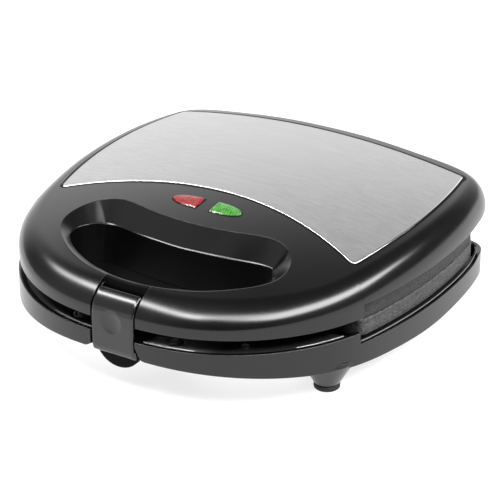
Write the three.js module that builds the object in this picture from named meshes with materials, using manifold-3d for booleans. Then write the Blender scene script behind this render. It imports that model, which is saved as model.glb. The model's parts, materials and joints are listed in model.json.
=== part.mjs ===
// Hinged countertop baker with two cooking plates, modelled as separate pieces.
// Units are millimetres, +Z is up, -Y is the handle side, +Y is the hinge side.
// Heights below are written from the underside of the front wall; the exported
// group lifts everything so that the foot pads stand on Z = 0.
import * as THREE from "three";
import { mergeVertices } from "three/addons/utils/BufferGeometryUtils.js";
import Module from "manifold-3d";

// ---------------------------------------------------------------- driving dimensions
const LIFT = 16; // height of the frame zero above the table
const SHIFT_Y = 2.09; // centres the bounding box on the origin
// Plan outline of the casing: radius every 5 degrees from the front (-90) to the back (+90).
const OUTLINE_RADII = [
  125.05, 125.36, 126.09, 126.94, 127.63, 128.07, 128.28, 128.25, 128.02, 127.63,
  127.1, 126.45, 125.63, 124.6, 123.51, 122.63, 122.24, 122.49, 123.35, 124.78,
  126.78, 129.41, 132.77, 136.89, 141.63, 146.92, 152.84, 157.17, 155.03, 147.22,
  138.98, 133.1, 129.01, 125.93, 123.59, 122.1, 121.58,
];
const PLAN_SEGMENTS = 60;
const DOME_TOP = 66.6, DOME_KX = 8.69e-4, DOME_KY = 7.94e-4, DOME_Y = 45.8; // crowned lid surface
const LID_WALL = 2.6, LID_INSET = 0.31;
const LID_EDGE_FRONT = 28.61, LID_EDGE_REAR = 37.36, LID_WINDOW_Y = -47;
const BASE_WALL = 3.4, BASE_OUTSET = 0.52, BASE_BACK_Y = 102.3;
const BASE_EDGE_FRONT = 21.69, BASE_EDGE_REAR = 13.55, BASE_WINDOW_Y = -50;
const PARTING = 25.2; // plane between the cooking plates
const PLATE_GAP = 0.2, PLATE_HEIGHT = 11, PLATE_INSET = 3.6, PLATE_FRONT = -44, PLATE_REAR = 83;
const BELLY_Z = -6, BELLY_X = 110, BELLY_FRONT = -47, BELLY_REAR = 98, SKIN = 2.4;
const SLOT_WALL = 2.4, SLOT_LEDGE = 46.8;
const SLOT_POINTS = [
  [0, -58.2], [20, -56.3], [38, -53.8], [50, -53], [58, -55.5], [63.5, -61], [66.2, -68.5], [66.5, -76],
  [63, -83.5], [56, -90.4], [46, -96.6], [34, -102.3], [22, -106.6], [10, -108.9], [0, -109.4],
];
// Rim of the handle opening on the crowned surface, half of it.
const RIM_POINTS = [
  [0, -45.7], [9, -46.4], [19.9, -45.2], [31, -41.6], [42, -40.2], [54, -40.9], [63, -43.9], [70.5, -50.4], [73.7, -59.5], [72.4, -70.5], [66.5, -80.4],
  [58.5, -88], [50.7, -93.8], [36.4, -101.1], [25.4, -105.3], [16.3, -108], [7.9, -109.2], [0, -109.4],
];
const NOTCH_X = 14.8, LATCH_X = 14, LATCH_PIVOT = [-117.8, 36.5];
const HINGE_Y = 98, HINGE_Z = 27, HINGE_R = 6.5, HINGE_X = [58, 66];
const FOOT_FRONT = [96.2, -54.7], FOOT_REAR = [88, 62], FOOT_PAD_R = 7.75;
const TRIM = { x1: 100.8, y1: -35.6, kf: 25.2, x2: 101.1, y2: 100.1, kb: 2, ks: 7.7 };
const LAMP = { flat: 4.6, tip: 23.1, y0: -33.8, y1: -23, mid: -28.4 };
const HEATER_R = 3.2;

// ---------------------------------------------------------------- solids
const wasm = await Module();
wasm.setup();

// A three.js geometry as a closed solid facing out.
function solid(geometry, matrix) {
  const g = geometry.clone();
  if (matrix) g.applyMatrix4(matrix);
  g.deleteAttribute("normal");
  g.deleteAttribute("uv");
  const m = mergeVertices(g, 1e-4);
  const index = [];
  const a = m.index.array;
  for (let i = 0; i < a.length; i += 3)
    if (a[i] !== a[i + 1] && a[i + 1] !== a[i + 2] && a[i] !== a[i + 2])
      index.push(a[i], a[i + 1], a[i + 2]);
  const p = m.attributes.position.array;
  let volume = 0;
  for (let i = 0; i < index.length; i += 3) {
    const [u, v, w] = [index[i] * 3, index[i + 1] * 3, index[i + 2] * 3];
    volume +=
      p[u] * (p[v + 1] * p[w + 2] - p[v + 2] * p[w + 1]) -
      p[u + 1] * (p[v] * p[w + 2] - p[v + 2] * p[w]) +
      p[u + 2] * (p[v] * p[w + 1] - p[v + 1] * p[w]);
  }
  if (volume < 0) for (let i = 0; i < index.length; i += 3) [index[i + 1], index[i + 2]] = [index[i + 2], index[i + 1]];
  return new wasm.Manifold(
    new wasm.Mesh({ numProp: 3, vertProperties: new Float32Array(p), triVerts: new Uint32Array(index) }),
  );
}
const join = (...s) => s.reduce((a, b) => a.add(b));
const cut = (a, ...s) => s.reduce((r, b) => r.subtract(b), a);

function geometryOf(s) {
  const m = s.getMesh(), n = m.numProp, v = new Float32Array(m.numVert * 3);
  for (let i = 0; i < m.numVert; i++) v.set(m.vertProperties.subarray(i * n, i * n + 3), i * 3);
  const g = new THREE.BufferGeometry();
  g.setAttribute("position", new THREE.BufferAttribute(v, 3));
  g.setIndex(new THREE.BufferAttribute(new Uint32Array(m.triVerts), 1));
  g.computeVertexNormals();
  return g;
}

const at = (x, y, z) => new THREE.Matrix4().makeTranslation(x, y, z);
const MIRROR_X = new THREE.Matrix4().makeScale(-1, 1, 1);
const FLIP_Z = new THREE.Matrix4().makeTranslation(0, 0, 2 * PARTING).multiply(new THREE.Matrix4().makeScale(1, 1, -1));
// Profile axes (u, v, depth) laid on (Y, Z, X).
const YZ = new THREE.Matrix4().makeBasis(new THREE.Vector3(0, 1, 0), new THREE.Vector3(0, 0, 1), new THREE.Vector3(1, 0, 0));

function box(x0, x1, y0, y1, z0, z1) {
  return solid(new THREE.BoxGeometry(x1 - x0, y1 - y0, z1 - z0), at((x0 + x1) / 2, (y0 + y1) / 2, (z0 + z1) / 2));
}
function shapeOf(points) {
  return new THREE.Shape(points.map(([x, y]) => new THREE.Vector2(x, y)));
}
function prism(points, z0, z1) {
  return solid(new THREE.ExtrudeGeometry(shapeOf(points), { depth: z1 - z0, bevelEnabled: false }), at(0, 0, z0));
}
// A profile in (y, z) swept along X.
function prismX(points, x0, x1) {
  const g = new THREE.ExtrudeGeometry(shapeOf(points), { depth: x1 - x0, bevelEnabled: false });
  return solid(g, at(x0, 0, 0).multiply(YZ));
}
function cylinderZ(x, y, z0, z1, r0, r1 = r0, n = 20) {
  const g = new THREE.CylinderGeometry(r1, r0, z1 - z0, n);
  g.rotateX(Math.PI / 2);
  return solid(g, at(x, y, (z0 + z1) / 2));
}
function cylinderX(y, z, x0, x1, r, n = 20) {
  const g = new THREE.CylinderGeometry(r, r, x1 - x0, n);
  g.rotateZ(Math.PI / 2);
  return solid(g, at((x0 + x1) / 2, y, z));
}
function cylinderY(x, z, y0, y1, r0, r1 = r0, n = 20) {
  const g = new THREE.CylinderGeometry(r1, r0, y1 - y0, n);
  return solid(g, at(x, (y0 + y1) / 2, z));
}
// A round wire or tube along points.
function tube(points, r, sides, steps) {
  const path = new THREE.CatmullRomCurve3(points.map((p) => new THREE.Vector3(...p)), false, "centripetal");
  const ring = [];
  for (let i = 0; i < sides; i++) ring.push([r * Math.cos((2 * Math.PI * i) / sides), r * Math.sin((2 * Math.PI * i) / sides)]);
  return solid(new THREE.ExtrudeGeometry(shapeOf(ring), { steps, extrudePath: path, bevelEnabled: false }));
}
function roundedBox(x0, x1, y0, y1, r, n = 4) {
  const out = [];
  for (const [cx, cy, a0] of [[x1 - r, y1 - r, 0], [x0 + r, y1 - r, 90], [x0 + r, y0 + r, 180], [x1 - r, y0 + r, 270]])
    for (let i = 0; i <= n; i++) {
      const a = ((a0 + (90 * i) / n) * Math.PI) / 180;
      out.push([cx + r * Math.cos(a), cy + r * Math.sin(a)]);
    }
  return out;
}

// ---------------------------------------------------------------- outlines
function radiusAt(deg) {
  let t = Math.abs(((((deg + 90) % 360) + 360) % 360) / 5);
  if (t > 36) t = 72 - t;
  const i = Math.floor(t), f = t - i, R = OUTLINE_RADII;
  const get = (k) => R[k < 0 ? -k : k > 36 ? 72 - k : k];
  const [p0, p1, p2, p3] = [get(i - 1), get(i), get(i + 1), get(i + 2)];
  return p1 + 0.5 * f * (p2 - p0 + f * (2 * p0 - 5 * p1 + 4 * p2 - p3 + f * (3 * (p1 - p2) + p3 - p0)));
}
function ringOf(radius, n = PLAN_SEGMENTS) {
  const out = [];
  for (let i = 0; i < n; i++) {
    const deg = -90 + (360 * i) / n, a = (deg * Math.PI) / 180, r = radius(deg);
    out.push([r * Math.cos(a), r * Math.sin(a)]);
  }
  return out;
}
// Moves every point of a closed outline along its normal; positive is outwards.
function offset(points, d) {
  const n = points.length;
  return points.map((p, i) => {
    const a = points[(i + n - 1) % n], b = points[(i + 1) % n];
    const t = [b[0] - a[0], b[1] - a[1]], l = Math.hypot(...t), e = typeof d === "function" ? d(p) : d;
    return [p[0] + (e * t[1]) / l, p[1] - (e * t[0]) / l];
  });
}
const PLAN = ringOf(radiusAt);
// The base stops short at the back, where the lid swings down behind it.
const BASE_PLAN = ringOf((deg) => {
  const r = radiusAt(deg) + BASE_OUTSET, s = Math.sin((deg * Math.PI) / 180);
  if (s <= 0.2) return r;
  const b = BASE_BACK_Y / s;
  return Math.pow(Math.pow(r, -26) + Math.pow(b, -26), -1 / 26);
});
const mirrored = (half) =>
  new THREE.SplineCurve([...half, ...half.slice(1, -1).reverse().map(([x, y]) => [-x, y]), half[0]].map(([x, y]) => new THREE.Vector2(x, y)))
    .getPoints(96).slice(0, -1).map((v) => [v.x, v.y]).reverse();
// The same outline read at even angles about a centre inside it.
function evenAngles(points, cy, n) {
  const out = [];
  for (let i = 0; i < n; i++) {
    const a = -Math.PI / 2 + (2 * Math.PI * (i + 0.5)) / n, dx = Math.cos(a), dy = Math.sin(a);
    let best = 0;
    points.forEach(([x0, y0], k) => {
      const [x1, y1] = points[(k + 1) % points.length], ex = x1 - x0, ey = y1 - y0, det = dx * ey - dy * ex;
      if (Math.abs(det) < 1e-12) return;
      const t = (x0 * ey - (y0 - cy) * ex) / det, u = (x0 * dy - (y0 - cy) * dx) / det;
      if (t > 0 && u >= -1e-9 && u <= 1 + 1e-9) best = Math.max(best, t);
    });
    out.push([dx * best, cy + dy * best]);
  }
  return out;
}
const SLOT_CENTRE_Y = -76;
const SLOT = evenAngles(mirrored(SLOT_POINTS), SLOT_CENTRE_Y, 44);
const RIM = evenAngles(mirrored(RIM_POINTS), SLOT_CENTRE_Y, 44);

const dome = (x, y) => DOME_TOP - DOME_KX * x * x - DOME_KY * (y - DOME_Y) ** 2;
const clamp = (t) => Math.min(1, Math.max(0, t));
const ease = (t) => { const c = clamp(t); return c * c * (3 - 2 * c); };
const rimWidth = (y) => 14.8 - 2.8 * ease((y + 120) / 60);
const wallTop = (y) => 33 + 3.4 * ease((y + 120) / 60);
// Lower edge of the base wall: arched over the front, dropping towards the sides and back.
function baseEdge(x, y) {
  const s = Math.max(0, (-y - 40) / 85), ax = Math.abs(x) + (118 - Math.abs(x)) * ease((y - 5) / 70);
  return 12.69 - 2.79 * s * s - 14.48 * (ax / 125) ** 2;
}

// A solid of rings stacked over a plan outline, made from a turned profile whose
// points are moved onto the rings. Each ring is {inset, z} or {rho, z}.
function ringSolid(plan, rings) {
  const n = plan.length;
  const profile = rings.map((r, i) => new THREE.Vector2(r.rho === 0 ? 0 : 1, i));
  const g = new THREE.LatheGeometry(profile, n), pos = g.attributes.position;
  let previous = plan;
  const table = rings.map((ring) => {
    const base = ring.rho !== undefined ? previous.map(([x, y]) => [x * ring.rho, y * ring.rho]) : offset(plan, (p) => -(typeof ring.inset === "function" ? ring.inset(p) : ring.inset));
    if (ring.rho === undefined) previous = base;
    return base.map(([x, y]) => [x, y, typeof ring.z === "function" ? ring.z(x, y) : ring.z]);
  });
  for (let i = 0; i <= n; i++)
    for (let j = 0; j < rings.length; j++) {
      const p = rings[j].rho === 0 ? [0, 0, typeof rings[j].z === "function" ? rings[j].z(0, 0) : rings[j].z] : table[j][i % n];
      pos.setXYZ(i * rings.length + j, ...p);
    }
  return solid(g);
}
function lidBody(inset, drop, bottom, steps, domeRings) {
  const rings = [{ rho: 0, z: bottom }, { inset, z: bottom }, { inset, z: (x, y) => wallTop(y) - drop * 0.5 }];
  for (let k = 1; k <= steps; k++) {
    const a = (k / steps) * (Math.PI / 2);
    rings.push({
      inset: (p) => inset + Math.max(3, rimWidth(p[1]) - drop) * (1 - Math.cos(a)),
      z: (x, y) => wallTop(y) - drop * 0.5 + (dome(x, y) - drop - wallTop(y) + drop * 0.5) * Math.sin(a),
    });
  }
  for (const rho of domeRings) rings.push({ rho, z: (x, y) => dome(x, y) - drop });
  rings.push({ rho: 0, z: (x, y) => dome(x, y) - drop });
  return ringSolid(PLAN, rings);
}
// The flared upper part of the handle opening, from the ledge to above the crown, grown outwards by d.
function funnel(d) {
  const n = SLOT.length, low = offset(SLOT, d), high = offset(RIM, d);
  const g = new THREE.LatheGeometry([[0, 0], [1, 0], [1, 1], [1, 2], [0, 2]].map(([x, y]) => new THREE.Vector2(x, y)), n), pos = g.attributes.position;
  const up = high.map(([x, y], i) => {
    const z = dome(x, y), k = 9 / (z - SLOT_LEDGE);
    return [[x, y, z], [x + (x - low[i][0]) * k, y + (y - low[i][1]) * k, z + 9]];
  });
  for (let i = 0; i <= n; i++) {
    const k = i % n;
    pos.setXYZ(i * 5, 0, SLOT_CENTRE_Y, SLOT_LEDGE);
    pos.setXYZ(i * 5 + 1, low[k][0], low[k][1], SLOT_LEDGE);
    pos.setXYZ(i * 5 + 2, ...up[k][0]);
    pos.setXYZ(i * 5 + 3, ...up[k][1]);
    pos.setXYZ(i * 5 + 4, 0, SLOT_CENTRE_Y, 75);
  }
  return solid(g);
}

// ---------------------------------------------------------------- materials and placing
const group = new THREE.Group();
const baseBody = new THREE.Group(), lidGroup = new THREE.Group(), latchGroup = new THREE.Group();
group.position.set(0, SHIFT_Y, LIFT);
group.add(baseBody, lidGroup);
lidGroup.add(latchGroup);
latchGroup.position.set(0, LATCH_PIVOT[0], LATCH_PIVOT[1]);
const FINISH = {
  black: [0x232326, 0.38, 0.0], darkBlack: [0x1a1a1c, 0.5, 0.0], steel: [0xc9cacc, 0.34, 1.0], plate: [0x4b4b4d, 0.62, 0.25],
  aluminium: [0xb9bcbf, 0.4, 0.9], rubber: [0x161617, 0.85, 0.0], red: [0xc0262c, 0.25, 0.0], green: [0x2fae3a, 0.25, 0.0],
  heater: [0x6a6660, 0.5, 0.7], zinc: [0xa7a8aa, 0.35, 0.95], board: [0xd8cfb6, 0.7, 0.0], ceramic: [0xe6e0d2, 0.6, 0.0], glass: [0xf2c9a0, 0.1, 0.0],
};
function place(parent, name, s, finish) {
  const [color, roughness, metalness] = FINISH[finish];
  const g = geometryOf(s);
  if (parent === latchGroup) g.translate(0, -LATCH_PIVOT[0], -LATCH_PIVOT[1]);
  const mesh = new THREE.Mesh(g, new THREE.MeshStandardMaterial({ color, roughness, metalness }));
  mesh.name = name;
  parent.add(mesh);
}
const both = (f) => { f(1, "right"); f(-1, "left"); };
const flip = (s) => s.transform(FLIP_Z.elements);

// Pan-head screw, head top at z, shank below, recess in the head.
function screw(x, y, z, r, length, cross = true) {
  const n = cross ? 14 : 10;
  const s = cut(
    join(cylinderZ(x, y, z - 1.6, z, r, r * 0.86, n), cylinderZ(x, y, z - length, z - 1.5, r * 0.4, r * 0.4, 8)),
    box(x - r * 0.55, x + r * 0.55, y - 0.35, y + 0.35, z - 1, z + 1),
  );
  return cross ? cut(s, box(x - 0.35, x + 0.35, y - r * 0.55, y + r * 0.55, z - 1, z + 1)) : s;
}

// ---------------------------------------------------------------- base casing
const slotHole = prism(SLOT, -40, 90);
const slotTube = (z0, z1) => prism(offset(SLOT, SLOT_WALL), z0, z1);
{
  const outer = ringSolid(BASE_PLAN, [
    { rho: 0, z: baseEdge }, { inset: 0, z: baseEdge }, { inset: 0, z: BASE_EDGE_FRONT }, { rho: 0, z: BASE_EDGE_FRONT },
  ]);
  const belly = solid(
    new THREE.ExtrudeGeometry(shapeOf(roundedBox(-BELLY_X, BELLY_X, BELLY_FRONT, BELLY_REAR, 16)), { depth: 14, bevelEnabled: true, bevelThickness: 5, bevelSize: 5, bevelOffset: -5, bevelSegments: 2 }),
    at(0, 0, BELLY_Z + 5),
  ).intersect(box(-200, 200, -200, 200, -50, 10));
  const bellyHollow = join(prism(roundedBox(-BELLY_X + 6, BELLY_X - 6, BELLY_FRONT + 6, BELLY_REAR - 6, 12), BELLY_Z + SKIN, 30), prism(roundedBox(-BELLY_X + SKIN, BELLY_X - SKIN, BELLY_FRONT + SKIN, BELLY_REAR - SKIN, 13), 0, 30));
  const hollow = ringSolid(BASE_PLAN, [
    { rho: 0, z: (x, y) => baseEdge(x, y) + SKIN }, { inset: BASE_WALL, z: (x, y) => baseEdge(x, y) + SKIN },
    { inset: BASE_WALL, z: 40 }, { rho: 0, z: 40 },
  ]);
  const cones = [];
  both((s) => {
    cones.push(cylinderZ(s * FOOT_FRONT[0], FOOT_FRONT[1], -12.6, 5.4, 8.3, 14.6, 28));
    cones.push(cylinderZ(s * FOOT_REAR[0], FOOT_REAR[1], -12.6, -3, 8.3, 11.4, 24));
  });
  // Half-round boss below the latch recess, and the lip that the latch closes over.
  const boss = cylinderY(0, 15, -116.6, -111.2, 17, 17, 28).intersect(box(-30, 30, -130, -100, -20, 14));
  let body = cut(join(outer, belly, ...cones, boss), cut(join(hollow, bellyHollow), slotTube(-40, 60)).subtract(box(-17.2, 17.2, -140, -115.2, -40, 60)), slotHole);
  // Latch recess in the front wall.
  body = cut(body, box(-NOTCH_X, NOTCH_X, -140, -117.6, -40, 60));
  body = join(body, box(-9, 9, -122, -117, 11.6, 13.4));
  // Low side windows and the low rear edge.
  body = cut(body, box(-200, 200, BASE_WINDOW_Y, 200, BASE_EDGE_REAR, 60));
  // The handle deck drops onto a ledge below the rim.
  body = cut(body, cut(box(-200, 200, -200, BASE_WINDOW_Y - 3.6, 19.9, 60).intersect(slotTube(-40, 60))));
  // Hinge towers, screw posts, pad bores, terminal openings.
  both((s) => {
    const [a, b] = s > 0 ? HINGE_X : [-HINGE_X[1], -HINGE_X[0]];
    body = join(body, box(a, b, 91.5, 102, 2, HINGE_Z), cylinderX(HINGE_Y, HINGE_Z, a, b, HINGE_R, 24));
    body = cut(body, cylinderX(HINGE_Y, HINGE_Z, a - 1, b + 1, 2.3, 16));
    for (const [x, y] of [[99, -36], [96, 74]])
      body = join(body, cut(cylinderZ(s * x, y, BELLY_Z + 1, 8.7, 3.6, 3.6, 12), cylinderZ(s * x, y, 4.2, 9, 1.45, 1.45, 8)));
    for (const [x, y] of [[33, -111.6], [67, -94.5]])
      body = join(body, cut(cylinderZ(s * x, y, baseEdge(x, y) + 1, 16.9, 3, 3, 12), cylinderZ(s * x, y, 11.4, 18, 1.45, 1.45, 8)));
    for (const [x, y] of [FOOT_FRONT, FOOT_REAR]) body = cut(body, cylinderZ(s * x, y, -13, -8, 2.7, 2.7, 12));
  });
  body = cut(body, cylinderY(0, 7.8, 90, 110, 4.4, 4.4, 16));
  // Slotted vents under the belly.
  for (let i = 0; i < 5; i++) body = cut(body, box(-22, 22, 8 + i * 9, 11 + i * 9, -10, -1));
  place(baseBody, "lower_housing", body, "black");

  // Deck that closes the lower handle, with screw recesses.
  let deck = cut(prism(offset(PLAN, BASE_OUTSET - BASE_WALL - 0.35), 17.2, 19.6), slotTubeGap());
  deck = deck.intersect(box(-200, 200, -200, -57, 0, 60));
  deck = cut(deck, box(-17.6, 17.6, -140, -114.9, 0, 60));
  both((s) => {
    for (const [x, y] of [[33, -111.6], [67, -94.5]])
      deck = cut(deck, cylinderZ(s * x, y, 18.3, 20, 4.6, 4.6, 20), cylinderZ(s * x, y, 16, 20, 1.9, 1.9, 10));
  });
  place(baseBody, "lower_handle_cover", deck, "darkBlack");
  both((s, side) => {
    place(baseBody, "handle_screw_front_" + side, screw(s * 33, -111.6, 20.2, 3.4, 7), "zinc");
    place(baseBody, "handle_screw_side_" + side, screw(s * 67, -94.5, 20.2, 3.4, 7), "zinc");
    place(baseBody, "frame_screw_front_" + side, screw(s * 99, -36, 13.0, 3.2, 8, false), "zinc");
    place(baseBody, "frame_screw_rear_" + side, screw(s * 96, 74, 13.0, 3.2, 8, false), "zinc");
    for (const [where, [x, y]] of [["front", FOOT_FRONT], ["rear", FOOT_REAR]])
      place(baseBody, "foot_pad_" + where + "_" + side, join(cylinderZ(s * x, y, -16, -12.9, FOOT_PAD_R, FOOT_PAD_R, 24), cylinderZ(s * x, y, -13, -8.4, 2.35, 2.35, 10)), "rubber");
    const [a, b] = s > 0 ? [HINGE_X[0] - 6.6, HINGE_X[1] + 6.4] : [-HINGE_X[1] - 6.4, -HINGE_X[0] + 6.6];
    place(baseBody, "hinge_pin_" + side, join(cylinderX(HINGE_Y, HINGE_Z, a, b, 2, 16), cylinderX(HINGE_Y, HINGE_Z, s > 0 ? b - 0.9 : a, s > 0 ? b : a + 0.9, 3.3, 16)), "zinc");
  });
}
function slotTubeGap() {
  return prism(offset(SLOT, SLOT_WALL + 0.3), -40, 90);
}

// ---------------------------------------------------------------- parts that both halves have, drawn for the base
function platePlan(inset, front, rear, corner) {
  // Side edges follow the casing; front and rear are straight with rounded corners.
  return prism(offset(PLAN, -inset), -20, 60).intersect(prism(roundedBox(-140, 140, front, rear, corner), -20, 60));
}
function cookingPlate(pattern) {
  const z1 = PARTING - PLATE_GAP, z0 = z1 - PLATE_HEIGHT;
  let s = platePlan(PLATE_INSET, PLATE_FRONT, PLATE_REAR, 7).intersect(box(-200, 200, -200, 200, z0, z1));
  // Shallow hollow behind, inside the skirt.
  s = cut(s, prism(roundedBox(-100, 100, PLATE_FRONT + 5, PLATE_REAR - 5, 5), z0 - 1, z0 + 1.2));
  // Two baking wells with a grid of square pits.
  for (const k of [-1, 1]) {
    const [x0, x1] = k > 0 ? [5, 104] : [-104, -5];
    s = cut(s, prism(roundedBox(x0, x1, PLATE_FRONT + 9, PLATE_REAR - 9, 9, 3), z1 - 3.2, z1 + 1));
    const nx = pattern.nx, ny = pattern.ny, gx = (x1 - x0 - 10) / nx, gy = (PLATE_REAR - PLATE_FRONT - 28) / ny;
    for (let i = 0; i < nx; i++)
      for (let j = 0; j < ny; j++) {
        const cx = x0 + 5 + gx * (i + 0.5), cy = PLATE_FRONT + 14 + gy * (j + 0.5);
        s = cut(s, box(cx - gx / 2 + 2.2, cx + gx / 2 - 2.2, cy - gy / 2 + 2.2, cy + gy / 2 - 2.2, z1 - 6.6, z1));
      }
  }
  // Slot for the retaining clip, and two lugs behind.
  s = cut(s, box(-8.6, 8.6, PLATE_FRONT - 2, PLATE_FRONT + 2.2, 17, 20.5));
  return join(s, box(-60, -48, PLATE_REAR - 1, PLATE_REAR + 2.2, z0 + 1, z0 + 3.4), box(48, 60, PLATE_REAR - 1, PLATE_REAR + 2.2, z0 + 1, z0 + 3.4));
}
function heaterTube() {
  const z = 11.7;
  return tube(
    [[-14, 62, z - 0.4], [-14, 46, z], [-17, 36, z], [-28, 32, z], [-40, 36, z], [-46, 47, z], [-56, 58, z], [-72, 56, z], [-80, 44, z], [-81, 20, z], [-80, -4, z],
      [-72, -15, z], [-56, -18, z], [-28, -16, z], [0, -15, z], [28, -16, z], [56, -18, z], [72, -15, z], [80, -4, z], [81, 20, z], [80, 44, z],
      [72, 56, z], [56, 58, z], [46, 47, z], [40, 36, z], [28, 32, z], [17, 36, z], [14, 46, z], [14, 62, z - 0.4]],
    HEATER_R, 7, 54,
  );
}
function reflector() {
  const flange = cut(prism(roundedBox(-93.5, 93.5, -31.5, 76.5, 8, 3), 11.5, 12.3), prism(roundedBox(-88, 88, -26, 71, 6, 3), 10, 14));
  const tray = cut(prism(roundedBox(-88.8, 88.8, -26.8, 71.8, 6.8, 3), 3.4, 12.3), prism(roundedBox(-88, 88, -26, 71, 6, 3), 4.2, 14));
  return cut(join(flange, tray), box(-20, 20, 64, 69, 0, 6));
}
function innerFrame(inset) {
  let s = platePlan(inset, -43, 87.4, 8).intersect(box(-200, 200, -200, 200, 9, 11.2));
  s = cut(s, prism(roundedBox(-89.6, 89.6, -27.6, 72.6, 7.4, 3), 0, 30));
  s = join(s, box(-86, 86, -40.6, -38.4, 11, 13.2), box(-86, 86, 85.6, 87.4, 11, 16));
  both((k) => {
    for (const [x, y] of [[99, -36], [96, 74]]) s = cut(s, cylinderZ(k * x, y, 0, 30, 1.9, 1.9, 12));
  });
  return s;
}
function plateClip() {
  // Button with a nose that holds the plate, guided in Y, with a pocket for its spring.
  const s = join(box(-10, 10, -52.4, -44.6, 15.6, 22), box(-8, 8, -45, -42.6, 17.5, 20));
  return cut(s, cylinderY(0, 18.6, -53, -46, 2.3, 2.3, 14));
}
function clipSpring() {
  const pts = [];
  for (let i = 0; i <= 32; i++) {
    const a = (i / 32) * 2 * Math.PI * 4;
    pts.push([1.7 * Math.cos(a), -55.1 + (i / 32) * 5.6, 18.6 + 1.7 * Math.sin(a)]);
  }
  return tube(pts, 0.3, 4, 40);
}
place(baseBody, "lower_cooking_plate", cookingPlate({ nx: 4, ny: 4 }), "plate");
place(baseBody, "lower_heating_element", heaterTube(), "heater");
place(baseBody, "lower_heat_reflector", reflector(), "aluminium");
place(baseBody, "lower_plate_frame", innerFrame(3.8), "darkBlack");
place(baseBody, "lower_plate_clip", plateClip(), "black");
place(baseBody, "lower_clip_spring", clipSpring(), "zinc");
{
  // Mains side of the base: gland in the rear wall, terminal block and thermal cut-out.
  place(baseBody, "cord_gland", cut(join(cylinderY(0, 7.8, 96.5, 103, 4.1, 4.1, 16), cylinderY(0, 7.8, 102.6, 104.4, 6, 6, 16), cylinderY(0, 7.8, 104.2, 112, 4.8, 4, 16), cylinderY(0, 7.8, 96, 98.5, 5.3, 5.3, 16)), cylinderY(0, 7.8, 90, 120, 3.2, 3.2, 16)), "rubber");
  place(baseBody, "terminal_block", cut(box(28, 56, 78, 90, -3.3, 6.5), cylinderY(35, 2.4, 70, 100, 1.7, 1.7, 10), cylinderY(42, 2.4, 70, 100, 1.7, 1.7, 10), cylinderY(49, 2.4, 70, 100, 1.7, 1.7, 10)), "ceramic");
  place(baseBody, "thermal_fuse", join(cylinderX(20, 0.6, -8, 8, 2.2, 14), cylinderX(20, 0.6, -20, 20, 0.6, 8)), "zinc");
}

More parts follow.
